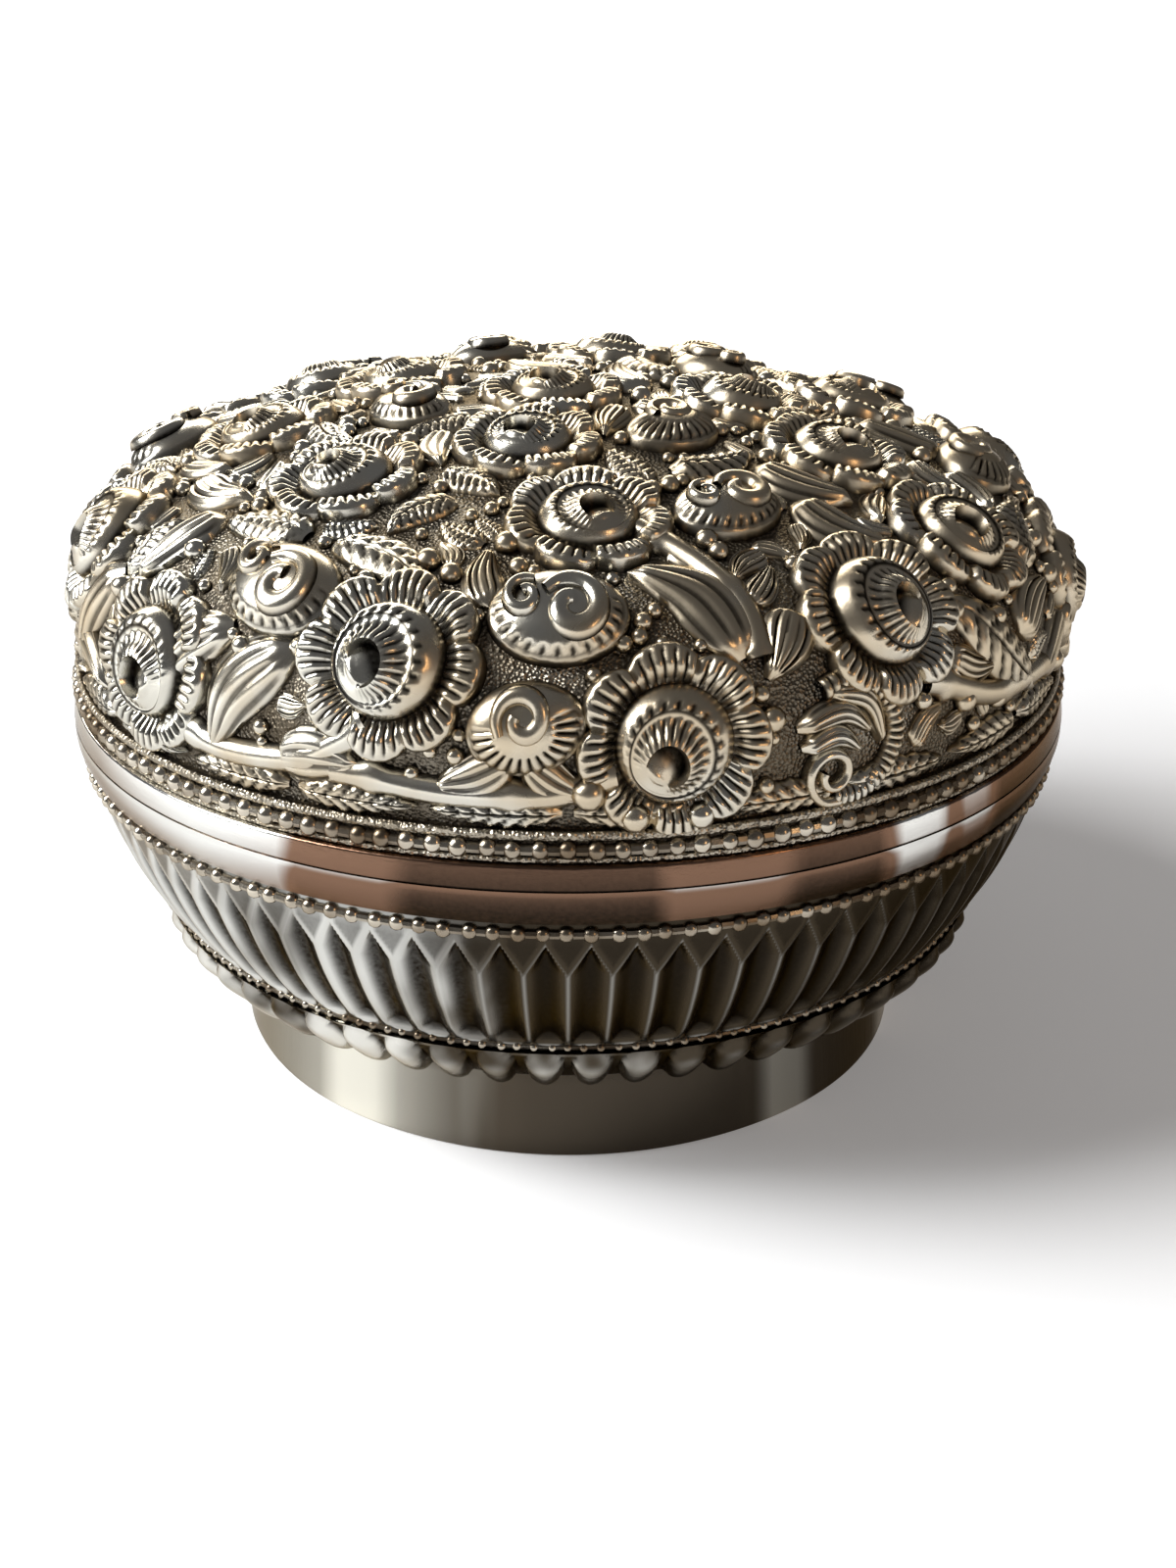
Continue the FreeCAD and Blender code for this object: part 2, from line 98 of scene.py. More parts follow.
foot_wall = []
foot_wall_steps = 8
for step in range(foot_wall_steps + 1):
    rise = step / foot_wall_steps
    foot_wall.append(
        (
            foot_base_radius + (foot_top_radius - foot_base_radius) * rise,
            foot_edge_round + (foot_height - foot_edge_round) * rise,
        )
    )
foot_turn = arc((foot_base_radius - foot_edge_round, foot_edge_round), foot_edge_round, -90, -15, 4)
foot_outline = foot_turn + foot_wall
foot_outline += [
    (foot_top_radius - foot_sheet, foot_height),
    (foot_base_radius - foot_sheet, foot_sheet),
    (foot_base_radius - foot_lip_width, foot_sheet),
    (foot_base_radius - foot_lip_width, 0),
]
foot_bm = spun(foot_outline, ROUND_STEPS)
for vert in foot_bm.verts:
    turn = math.atan2(vert.co.x, -vert.co.y)
    dent = 0.5 * math.sin(7 * turn + 1) + 0.3 * math.sin(17 * turn) * math.sin(90 * vert.co.z)
    share = (dent - 1) * foot_dent / foot_base_radius
    vert.co.x *= 1 + share
    vert.co.y *= 1 + share

# Degrees round from the front, and the mark there: bright stretches are painted reflections, dark ones
# painted shade
foot_painted_reflection_shares = [
    (-180, 0.1),
    (-130, -0.4),
    (-80, -0.25),
    (-52, -0.3),
    (-45, -0.35),
    (-40, -0.66),
    (-33, -0.62),
    (-28, -0.33),
    (-16, -0.1),
    (-6, 0.25),
    (10, 0.35),
    (28, 0.25),
    (35, -0.4),
    (41, -0.35),
    (48, 0.25),
    (62, 0.2),
    (70, -0.5),
    (80, -0.6),
    (92, 0.1),
    (140, -0.4),
    (180, 0.1),
]


def mark_patina_and_painted_light(bm, mark_of):
    """Marks each vertex: -1 bright as on a rubbed crest, 0 plain sheet, 1 black as deep in a groove;
    beside patina and wear, some marks are painted reflections, highlights and shadows.
    """
    layer = bm.verts.layers.float.get("patina_and_painted_light") or bm.verts.layers.float.new("patina_and_painted_light")
    for vert in bm.verts:
        vert[layer] = mark_of(vert.co)


def painted_light_round(co, painted_light_shares):
    """The painted light mark at a place round a ring, in between the marks on either side of it."""
    degrees = math.degrees(math.atan2(co.x, -co.y))
    for (start, first), (end, second) in zip(painted_light_shares, painted_light_shares[1:]):
        if start <= degrees <= end:
            return first + (second - first) * (degrees - start) / (end - start)


def foot_painted_light(co):
    # Painted shadow: the foot darkens towards its top, under the boss band that overhangs it; the rest is
    # painted reflection from the table
    painted_shadow_under_bosses = 0.8 * max(0, (co.z / foot_height - 0.86) / 0.14)
    return painted_light_round(co, foot_painted_reflection_shares) + painted_shadow_under_bosses


mark_patina_and_painted_light(foot_bm, foot_painted_light)


def add_node(tree, kind, inputs=None, **settings):
    """A node with its settings, and each named input linked from a socket or set to a value."""
    node = tree.nodes.new(kind)
    for setting, chosen in settings.items():
        setattr(node, setting, chosen)
    for key, given in (inputs or {}).items():
        if isinstance(given, bpy.types.NodeSocket):
            tree.links.new(given, node.inputs[key])
        else:
            node.inputs[key].default_value = given
    return node


def combined(tree, operation, first, second):
    return add_node(tree, "ShaderNodeMath", {0: first, 1: second}, operation=operation).outputs[0]


def blended(tree, share, first, second):
    mix = add_node(tree, "ShaderNodeMix", {0: share, 6: first, 7: second}, data_type="RGBA")
    return mix.outputs[2]


def ramp(tree, value, edges, ends=(0, 1)):
    """A smooth step of a value between two edges, from one end to the other."""
    sockets = {"Value": value, "From Min": edges[0], "From Max": edges[1]}
    sockets |= {"To Min": ends[0], "To Max": ends[1]}
    return add_node(tree, "ShaderNodeMapRange", sockets, interpolation_type="SMOOTHSTEP").outputs[0]


def stretched_noise(tree, place, stretch, detail, roughness):
    """Noise over a place that is stretched along each axis."""
    drawn = add_node(tree, "ShaderNodeVectorMath", {0: place, 1: stretch}, operation="MULTIPLY")
    sockets = {"Vector": drawn.outputs[0], "Scale": 1, "Detail": detail, "Roughness": roughness}
    return add_node(tree, "ShaderNodeTexNoise", sockets).outputs["Fac"]


def new_group(name, inputs, outputs):
    """An empty shader node group with named sockets, and its input and output nodes."""
    group = bpy.data.node_groups.new(name, "ShaderNodeTree")
    for socket, kind in inputs:
        group.interface.new_socket(socket, in_out="INPUT", socket_type=kind)
    for socket, kind in outputs:
        group.interface.new_socket(socket, in_out="OUTPUT", socket_type=kind)
    return group, group.nodes.new("NodeGroupInput"), group.nodes.new("NodeGroupOutput")


def make_tarnish_and_shade_group():
    """Silver that is browned in patches, with painted shade that darkens it more to the right, black in
    hollows and rubbed on crests.
    """
    sockets_in = [
        ("Bright", "NodeSocketColor"),
        ("Browned And Shaded", "NodeSocketColor"),
        ("Black", "NodeSocketColor"),
        ("Hollow", "NodeSocketFloat"),
        ("Patch Stretch", "NodeSocketVector"),
        ("Browning", "NodeSocketFloat"),
        ("Side Shade", "NodeSocketFloat"),
        ("Polish", "NodeSocketFloat"),
    ]
    sockets_out = [("Color", "NodeSocketColor"), ("Roughness", "NodeSocketFloat")]
    group, given, put = new_group("tarnish_and_shade", sockets_in, sockets_out)
    place = add_node(group, "ShaderNodeTexCoord").outputs["Object"]
    patches = stretched_noise(group, place, given.outputs["Patch Stretch"], 3, 0.5)
    grains = {"Vector": place, "Scale": 1900, "Detail": 3}
    speckle = add_node(group, "ShaderNodeTexNoise", grains).outputs["Fac"]
    # Painted shade: browning grows towards +X, so each part shows lighter on its left and darker on its
    # right, as if lit from the left
    rightward = add_node(group, "ShaderNodeSeparateXYZ", {0: place}).outputs["X"]
    painted_side_shade = combined(group, "MULTIPLY", rightward, given.outputs["Side Shade"])
    spread = combined(group, "ADD", combined(group, "ADD", patches, painted_side_shade), given.outputs["Browning"])
    # The marks read here are patina and wear, and also painted reflections, highlights and shadows
    unrubbed_and_unhighlighted = ramp(group, given.outputs["Hollow"], (-0.8, 0.0))
    browned_and_shaded = combined(group, "MULTIPLY", ramp(group, spread, (0.28, 0.6)), unrubbed_and_unhighlighted)
    deep_and_shaded = ramp(group, given.outputs["Hollow"], (0.08, 0.8))
    speck_range = {"Value": speckle, "From Min": 0.3, "From Max": 0.7, "To Min": 0.9}
    specks = add_node(group, "ShaderNodeMapRange", speck_range).outputs[0]
    sooty_and_shaded = combined(group, "MULTIPLY", deep_and_shaded, specks)
    warm = blended(group, browned_and_shaded, given.outputs["Bright"], given.outputs["Browned And Shaded"])
    group.links.new(blended(group, sooty_and_shaded, warm, given.outputs["Black"]), put.inputs["Color"])
    dulled = combined(group, "MULTIPLY", combined(group, "ADD", browned_and_shaded, sooty_and_shaded), 0.1)
    worn = combined(group, "ADD", given.outputs["Polish"], dulled)
    group.links.new(worn, put.inputs["Roughness"])
    return group


tarnish_and_shade_group = make_tarnish_and_shade_group()


def tarnished_and_shaded(name, bright, browned_and_shaded, black, patch_stretch, browning, lean, polish):
    """A silver material with the tarnish and painted side shade group feeding its shader, and the shader
    for further links.
    """
    material = bpy.data.materials.new(name)
    material.use_nodes = True
    tree = material.node_tree
    tarnish_and_shade = tree.nodes.new("ShaderNodeGroup")
    tarnish_and_shade.node_tree = tarnish_and_shade_group
    patina_and_painted_light = add_node(tree, "ShaderNodeAttribute", attribute_name="patina_and_painted_light").outputs["Fac"]
    tree.links.new(patina_and_painted_light, tarnish_and_shade.inputs["Hollow"])
    for socket, chosen in (("Bright", bright), ("Browned And Shaded", browned_and_shaded), ("Black", black)):
        tarnish_and_shade.inputs[socket].default_value = (*chosen, 1)
    tarnish_and_shade.inputs["Patch Stretch"].default_value = patch_stretch
    tarnish_and_shade.inputs["Browning"].default_value = browning
    tarnish_and_shade.inputs["Side Shade"].default_value = lean
    # Lean: how fast the painted side shade darkens the silver towards the right
    tarnish_and_shade.inputs["Polish"].default_value = polish
    shader = tree.nodes["Principled BSDF"]
    shader.inputs["Metallic"].default_value = 1
    shader.inputs["Specular Tint"].default_value = (0.55, 0.5, 0.44, 1)
    tree.links.new(tarnish_and_shade.outputs["Color"], shader.inputs["Base Color"])
    tree.links.new(tarnish_and_shade.outputs["Roughness"], shader.inputs["Roughness"])
    return material, tree, shader


def make_rubbing_group():
    """Fine marks of rubbing and wiping: noise drawn out along one direction, as a height."""
    group, given, put = new_group(
        "rubbing", [("Stretch", "NodeSocketVector")], [("Height", "NodeSocketFloat")]
    )
    place = add_node(group, "ShaderNodeTexCoord").outputs["Object"]
    marks = stretched_noise(group, place, given.outputs["Stretch"], 5, 0.7)
    group.links.new(marks, put.inputs["Height"])
    return group


rubbing_group = make_rubbing_group()


def rub(tree, shader, stretch, depth):
    """Bumps the shader with rubbing marks that are drawn out along the stretch's small directions."""
    rubbing = tree.nodes.new("ShaderNodeGroup")
    rubbing.node_tree = rubbing_group
    rubbing.inputs["Stretch"].default_value = stretch
    bump = add_node(tree, "ShaderNodeBump", {"Height": rubbing.outputs["Height"], "Distance": depth})
    tree.links.new(bump.outputs["Normal"], shader.inputs["Normal"])


foot_silver, foot_tree, foot_shader = tarnished_and_shaded(
    "foot_silver",
    bright=(0.8, 0.78, 0.69),
    browned_and_shaded=(0.07, 0.057, 0.042),
    black=(0.014, 0.011, 0.009),
    patch_stretch=(50, 50, 5),
    browning=0.26,
    lean=0.5,
    polish=0.14,
)
rub(foot_tree, foot_shader, (900, 900, 60), 0.06 * MM)


def smooth_piece(name, bm, material, crease=35):
    """An object of the bmesh, shaded smooth but for edges sharper than the crease angle."""
    mesh = bpy.data.meshes.new(name)
    bm.to_mesh(mesh)
    bm.free()
    mesh.polygons.foreach_set("use_smooth", [True] * len(mesh.polygons))
    mesh.set_sharp_from_angle(angle=math.radians(crease))
    mesh.materials.append(material)
    piece = bpy.data.objects.new(name, mesh)
    bpy.context.scene.collection.objects.link(piece)
    return piece


foot_piece = smooth_piece("foot_ring_sheet", foot_bm, foot_silver)
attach(foot_piece, "base")
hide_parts("foot_ring")

# Bowl: raised from one sheet by hammering, then fluted by scooping hollows up its side. Each flute ends
# in a point at the top, and the crests between them fork round flat corners under the bead row.

join_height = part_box("bowl_shell")[1].z
bowl_mouth_radius = 64 * MM
bowl_floor_radius = 46.05 * MM
bowl_side_radius = 44 * MM
bowl_sheet = 1.5 * MM
bowl_ledge_drop = 4 * MM
flute_count = 80
flute_columns = 18
flute_depth = 1.05 * MM
flute_foot = 21.9 * MM
flute_point = 39 * MM
flute_fork_share = 0.76
flute_crest_share = 0.07
flute_rows = 34
# Crests show bright as rubbed wear and as painted highlight
flute_crest_wear_and_highlight = -0.3
flute_margin_dirt = 0.4
bowl_plain_steps = 5
bowl_inside_steps = 12
bowl_inside_wear = -0.5


def side_arc_centre():
    """The middle of the arc that runs from the floor's edge to the mouth, as (radius, height)."""
    floor_edge = Vector((bowl_floor_radius, foot_height))
    mouth_edge = Vector((bowl_mouth_radius, join_height))
    run = mouth_edge - floor_edge
    reach = math.sqrt(bowl_side_radius**2 - run.length_squared / 4)
    inward = Vector((-run.y, run.x)).normalized()
    return (floor_edge + mouth_edge) / 2 + inward * reach


side_centre = side_arc_centre()


def side_radius(height, outset=0):
    """The radius of the bowl's side at a height, or of the surface that lies outset from it."""
    return side_centre.x + math.sqrt((bowl_side_radius + outset) ** 2 - (side_centre.y - height) ** 2)


def side_facing(height):
    """The direction, as (radius, height), in which the bowl's side faces at a height."""
    rise = (height - side_centre.y) / bowl_side_radius
    return Vector((math.sqrt(1 - rise**2), rise))


def wave(phase):
    """A wave that runs from 1 through 0 and back to 1 in a full turn of the phase."""
    return 0.5 + 0.5 * math.cos(phase)


def flute_cut(turn, height):
    """How deep the flutes are at a place on the side, as a share of their full depth."""
    climb = (height - flute_foot) / (flute_point - flute_foot)
    if not 0 < climb < 1:
        return 0
    across = abs((turn * flute_count / (2 * math.pi)) % 1 - 0.5) * 2
    half = 1 - flute_crest_share
    if climb > flute_fork_share:
        half *= 1 - (climb - flute_fork_share) / (1 - flute_fork_share)
    if across >= half:
        return 0
    scoop = wave(math.pi * across / half)
    ends = min(1, climb / 0.05) * min(1, (half / 0.4) ** 0.7)
    return scoop**0.7 * ends


def flute_wear_and_highlight(turn, height):
    """The mark of the sheet beside the flutes: bright on ridges and edges as rubbed wear and painted
    highlight, dark above and below.
    """
    climb = (height - flute_foot) / (flute_point - flute_foot)
    if not -0.02 < climb < 1.02:
        return flute_margin_dirt
    if climb < flute_fork_share:
        return flute_crest_wear_and_highlight
    across = abs((turn * flute_count / (2 * math.pi)) % 1 - 0.5) * 2
    half = (1 - flute_crest_share) * (1 - climb) / (1 - flute_fork_share)
    return flute_crest_wear_and_highlight + 0.8 * min(1, (across - half) / 0.4)


def push_out(vert, proud):
    """Moves a vertex square to the bowl's side, inwards where proud is below zero."""
    facing = side_facing(vert.co.z)
    outward = Vector((vert.co.x, vert.co.y, 0)).normalized()
    vert.co += (outward * facing.x + Vector((0, 0, facing.y))) * proud


bowl_rise = []
for low, high, steps in (
    (foot_height, flute_foot, bowl_plain_steps),
    (flute_foot, flute_point, flute_rows),
    (flute_point, join_height, bowl_plain_steps),
):
    bowl_rise += [low + (high - low) * step / steps for step in range(steps)]
bowl_rise.append(join_height)
bowl_outline = [(0, foot_height), (0.5 * bowl_floor_radius, foot_height)]
bowl_outline += [(side_radius(height), height) for height in bowl_rise]
bowl_inside = bowl_mouth_radius - bowl_sheet
bowl_ledge = join_height - bowl_ledge_drop
bowl_floor = foot_height + bowl_sheet
bowl_outline += [(bowl_inside, join_height), (bowl_inside, bowl_ledge)]
for step in range(bowl_inside_steps + 1):
    height = bowl_ledge + (bowl_floor - bowl_ledge) * step / bowl_inside_steps
    bowl_outline.append((side_radius(height, -bowl_sheet), height))
bowl_outline += [(0.5 * bowl_floor_radius, bowl_floor), (0, bowl_floor)]
bowl_bm = spun(bowl_outline, flute_count * flute_columns)
bowl_patina_and_light = bowl_bm.verts.layers.float.new("patina_and_painted_light")
for vert in bowl_bm.verts:
    radius = math.hypot(vert.co.x, vert.co.y)
    if radius < side_radius(vert.co.z) - 0.2 * MM:
        vert[bowl_patina_and_light] = bowl_inside_wear
        continue
    turn = math.atan2(vert.co.x, -vert.co.y)
    cut = flute_cut(turn, vert.co.z)
    push_out(vert, -cut * flute_depth)
    # Channels darken with their depth: patina, deepened as a painted dark reflection
    scooped = flute_crest_wear_and_highlight + 1.1 * cut**0.5
    vert[bowl_patina_and_light] = scooped if cut > 0 else flute_wear_and_highlight(turn, vert.co.z)
bowl_silver, bowl_tree, bowl_shader = tarnished_and_shaded(
    "bowl_silver",
    bright=(0.63, 0.63, 0.6),
    browned_and_shaded=(0.048, 0.038, 0.026),
    black=(0.012, 0.0095, 0.007),
    patch_stretch=(60, 60, 25),
    browning=0.15,
    lean=7.5,
    polish=0.14,
)
rub(bowl_tree, bowl_shader, (700, 700, 160), 0.03 * MM)
bowl_piece = smooth_piece("bowl_fluted_shell", bowl_bm, bowl_silver, 60)
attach(bowl_piece, "base")
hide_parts("bowl_shell")

# Boss band: a narrow strip of the same sheet punched up from behind into a row of long bosses, with
# hollows between them. It is soldered over the seam where the bowl meets the foot.

boss_count = 60
boss_columns = 14
boss_band_height = 7.8 * MM
boss_band_back = 0.05 * MM
boss_band_sheet = 0.8 * MM
boss_proud = 1.75 * MM
boss_length_share = 0.93
boss_half_share = 0.39
boss_flare_share = 0.05
boss_gap_dirt = 0.75
boss_top_dirt = 0.25

boss_rise_steps = 20
boss_front = []
for step in range(boss_rise_steps + 1):
    height = foot_height + boss_band_height * step / boss_rise_steps
    boss_front.append((side_radius(height, boss_band_back + boss_band_sheet), height))
boss_outline = boss_front + [
    (side_radius(foot_height + boss_band_height, boss_band_back), foot_height + boss_band_height),
    (side_radius(foot_height, boss_band_back), foot_height),
]
boss_bm = spun(boss_outline, boss_count * boss_columns)
boss_hollow = boss_bm.verts.layers.float.new("patina_and_painted_light")
for vert in boss_bm.verts:
    radius = math.hypot(vert.co.x, vert.co.y)
    if radius < side_radius(vert.co.z, boss_band_back + 0.5 * boss_band_sheet):
        continue
    along = (2 * (vert.co.z - foot_height) / boss_band_height - 1) / boss_length_share
    turn = math.atan2(vert.co.x, -vert.co.y)
    half = boss_half_share + boss_flare_share * along
    across = ((turn * boss_count / (2 * math.pi)) % 1 - 0.5) / half
    fullness = 5 if along > 0 else 2.4
    swell = max(0, 1 - across**2 - abs(along) ** fullness) ** 0.5
    push_out(vert, swell * boss_proud)
    dirt = boss_top_dirt if along > 0.9 else boss_gap_dirt
    vert[boss_hollow] = dirt * max(0, 1 - 2 * swell) - 0.3 * max(0, swell - 0.6) / 0.4
boss_silver, boss_tree, boss_shader = tarnished_and_shaded(
    "boss_silver",
    bright=(0.68, 0.67, 0.62),
    browned_and_shaded=(0.055, 0.044, 0.031),
    black=(0.014, 0.011, 0.008),
    patch_stretch=(80, 80, 80),
    browning=0.04,
    lean=5.5,
    polish=0.13,
)
rub(boss_tree, boss_shader, (500, 500, 500), 0.05 * MM)
boss_piece = smooth_piece("foot_boss_strip", boss_bm, boss_silver, 60)
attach(boss_piece, "base")
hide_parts("foot_boss_band")

# Pearled wires: wire rolled between grooved dies into strings of beads, one below the flutes and one
# above them, soldered to the bowl. The beads are worn bright on top and black between.

flute_bead_height = 21.4 * MM
flute_bead_radius = 0.6 * MM
flute_bead_count = 176
bowl_bead_height = 40.8 * MM
bowl_bead_radius = 0.95 * MM
bowl_bead_count = 150
bead_core_share = 0.58
bead_gap_dirt = 0.35
bead_rng = random.Random(7)

bead_silver, bead_tree, bead_shader = tarnished_and_shaded(
    "bead_silver",
    bright=(0.58, 0.53, 0.44),
    browned_and_shaded=(0.17, 0.13, 0.088),
    black=(0.018, 0.013, 0.009),
    patch_stretch=(90, 90, 90),
    browning=0,
    lean=2.5,
    polish=0.2,
)
rub(bead_tree, bead_shader, (900, 900, 900), 0.03 * MM)


def bead_string(name, centre_radius, height, facing, radius, count):
    """A wire ring with beads along it, half sunk in the sheet, each a little off its place and size."""
    core = arc((centre_radius, height), bead_core_share * radius, 0, 315, 7)
    bm = spun(core, ROUND_STEPS)
    mark_patina_and_painted_light(bm, lambda co: bead_gap_dirt)
    layer = bm.verts.layers.float.get("patina_and_painted_light")
    for number in range(count):
        turn = 2 * math.pi * (number + bead_rng.uniform(-0.09, 0.09)) / count
        size = radius * bead_rng.uniform(0.95, 1.08)
        outward = Vector((math.sin(turn), -math.cos(turn), 0))
        middle = outward * centre_radius + Vector((0, 0, height + bead_rng.uniform(-0.1, 0.1) * radius))
        lean = outward * facing.x + Vector((0, 0, facing.y))
        ball = bmesh.ops.create_icosphere(bm, subdivisions=2, radius=size)
        for vert in ball["verts"]:
            vert[layer] = 0.6 * max(0, 1 - max(0, vert.co.dot(lean) / size) / 0.2)
            vert.co += middle
    return smooth_piece(name, bm, bead_silver)


for name, node, height, radius, count in (
    ("flute_bead_string", "flute_bead_row", flute_bead_height, flute_bead_radius, flute_bead_count),
    ("bowl_bead_string", "bowl_bead_row", bowl_bead_height, bowl_bead_radius, bowl_bead_count),
):
    beads = bead_string(name, side_radius(height), height, side_facing(height), radius, count)
    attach(beads, "base")
    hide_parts(node)

# Rim band and collar: a plain rounded strip round the bowl's mouth, worn to bare metal along its top
# edge, and an upright strip soldered inside the mouth that centres the lid.

rim_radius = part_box("bowl_rim_band")[1].x
rim_band_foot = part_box("bowl_rim_band")[0].z
rim_band_edge = 0.5 * MM
rim_band_swell = 0.35 * MM
rim_band_back = 0.05 * MM
rim_band_steps = 12
rim_front = []
for step in range(rim_band_steps + 1):
    rise = step / rim_band_steps
    height = rim_band_foot + (join_height - rim_band_foot) * rise
    straight = side_radius(rim_band_foot, rim_band_edge) * (1 - rise) + rim_radius * rise
    rim_front.append((min(rim_radius, straight + rim_band_swell * math.sin(math.pi * rise)), height))
rim_outline = rim_front + [
    (bowl_mouth_radius + rim_band_back, join_height),
    (side_radius(rim_band_foot, rim_band_back), rim_band_foot),
]
rim_bm = spun(rim_outline, ROUND_STEPS)

# Degrees round from the front, and the mark there: painted bright reflection, copper-coloured painted
# reflection or painted shade
band_painted_reflection_shares = [
    (-180, 0.1),
    (-140, -0.6),
    (-100, -0.5),
    (-80, -0.8),
    (-60, -0.5),
    (-40, -0.8),
    (-29, -0.6),
    (-27, 0.0),
    (-18, 0.0),
    (-15, 0.45),
    (8, 0.45),
    (10, 0.0),
    (20, 0.0),
    (23, 0.45),
    (32, 0.4),
    (35, -0.8),
    (40, -0.7),
    (42, 0.2),
    (44, -0.35),
    (48, -0.3),
    (50, 0.4),
    (70, 0.3),
    (76, -0.5),
    (90, 0.3),
    (130, -0.5),
    (180, 0.1),
]


def rim_wear_and_painted_light(co):
    rise = (co.z - rim_band_foot) / (join_height - rim_band_foot)
    rubbed_edge = 0.4 * max(0, rise - 0.85) / 0.15
    bead_dirt = 0.35 * max(0, 1 - rise / 0.85) ** 0.6
    return painted_light_round(co, band_painted_reflection_shares) + bead_dirt - rubbed_edge


mark_patina_and_painted_light(rim_bm, rim_wear_and_painted_light)
band_silver, band_tree, band_shader = tarnished_and_shaded(
    "band_silver",
    bright=(0.74, 0.74, 0.71),
    browned_and_shaded=(0.19, 0.11, 0.072),
    black=(0.016, 0.012, 0.009),
    patch_stretch=(60, 60, 16),
    browning=0.3,
    lean=1,
    polish=0.13,
)
rub(band_tree, band_shader, (260, 260, 1500), 0.06 * MM)
rim_piece = smooth_piece("bowl_rim_strip", rim_bm, band_silver)
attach(rim_piece, "base")
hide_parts("bowl_rim_band")

collar_low, collar_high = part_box("inner_collar")
collar_sheet = 0.9 * MM
collar_lead = 0.4 * MM
collar_wear = -0.45
collar_outline = [
    (collar_high.x - collar_sheet, collar_low.z),
    (collar_high.x, collar_low.z),
    (collar_high.x, collar_high.z - collar_lead),
    (collar_high.x - collar_lead, collar_high.z),
    (collar_high.x - collar_sheet, collar_high.z),
]
collar_bm = spun(collar_outline, ROUND_STEPS)
mark_patina_and_painted_light(collar_bm, lambda co: collar_wear)
collar_piece = smooth_piece("inner_collar_strip", collar_bm, band_silver)
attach(collar_piece, "base")
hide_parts("inner_collar")

# Lid band and beads: a plain strip of silver soldered round the lid's lower edge, flush with the bowl's
# rim and rubbed smooth, and the coarsest of the pearled wires, soldered on just above it.

lid_band_low, lid_band_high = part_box("lid_rim_band")
lid_band_inside = 63.8 * MM
lid_band_taper = 0.3 * MM
lid_band_round = 0.35 * MM
lid_join_dirt_height = 0.5 * MM
lid_band_outline = arc(
    (lid_band_high.x - lid_band_round, lid_band_low.z + lid_band_round), lid_band_round, -90, 0, 4
)
lid_band_outline += arc(
    (lid_band_high.x - lid_band_taper - lid_band_round, lid_band_high.z - lid_band_round),
    lid_band_round,
    0,
    90,
    4,
)
lid_band_outline += [(lid_band_inside, lid_band_high.z), (lid_band_inside, lid_band_low.z)]
lid_band_bm = spun(lid_band_outline, ROUND_STEPS)


def lid_band_dirt_and_painted_light(co):
    join_dirt = 0.5 * max(0, 1 - (co.z - lid_band_low.z) / lid_join_dirt_height)
    return painted_light_round(co, band_painted_reflection_shares) + join_dirt


mark_patina_and_painted_light(lid_band_bm, lid_band_dirt_and_painted_light)
lid_band_piece = smooth_piece("lid_rim_strip", lid_band_bm, band_silver)
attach(lid_band_piece, "lid")
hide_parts("lid_rim_band")

lid_bead_radius = 1.15 * MM
lid_bead_height = lid_band_high.z + 1.6 * MM
lid_bead_count = 140
lid_beads = bead_string(
    "lid_bead_string", lid_band_inside, lid_bead_height, Vector((1, 0)), lid_bead_radius, lid_bead_count
)
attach(lid_beads, "lid")
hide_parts("lid_bead_row")

# Lid dome: sheet raised into a low dome whose ground is matted with a punch so that the flowers stand
# out. Two fine ridges frame the bead row under the flower field.

lid_wall = 63.75 * MM
lid_sheet = 1 * MM
border_top = lid_bead_height + 1.6 * MM
field_foot = border_top + 1.6 * MM
field_skirt = 1.2 * MM
field_radius = lid_wall - 0.95 * MM
shoulder_radius = 17 * MM
shoulder_z = field_foot + 5.8 * MM
crown_top = join_height + 39.5 * MM
shoulder_r = field_radius - shoulder_radius
crown_rise = crown_top - shoulder_z
crown_square = shoulder_r**2 + crown_rise**2 - shoulder_radius**2
crown_radius = crown_square / (2 * (crown_rise - shoulder_radius))
crown_z = crown_top - crown_radius
shoulder_turn = math.asin(shoulder_r / (crown_radius - shoulder_radius))
crown_slope = crown_radius * shoulder_turn
shoulder_slope = shoulder_radius * (math.pi / 2 - shoulder_turn)
field_slope = crown_slope + shoulder_slope + shoulder_z - field_foot
field_end = field_slope + field_skirt


def dome_profile(run):
    """The dome's (radius, height) at a run down from the crown, and the direction it faces there."""
    if run < crown_slope:
        turn = run / crown_radius
        middle, swell = Vector((0, crown_z)), crown_radius
    elif run < crown_slope + shoulder_slope:
        turn = shoulder_turn + (run - crown_slope) / shoulder_radius
        middle, swell = Vector((shoulder_r, shoulder_z)), shoulder_radius
    else:
        turn = math.pi / 2
        middle = Vector((shoulder_r, shoulder_z - (run - crown_slope - shoulder_slope)))
        swell = shoulder_radius
    facing = Vector((math.sin(turn), math.cos(turn)))
    return middle + facing * swell, facing


def ridge(height, proud):
    """Half a round wire along the border, as outline points from its top to its foot."""
    return arc((lid_wall, height), proud, 90, -90, 6)


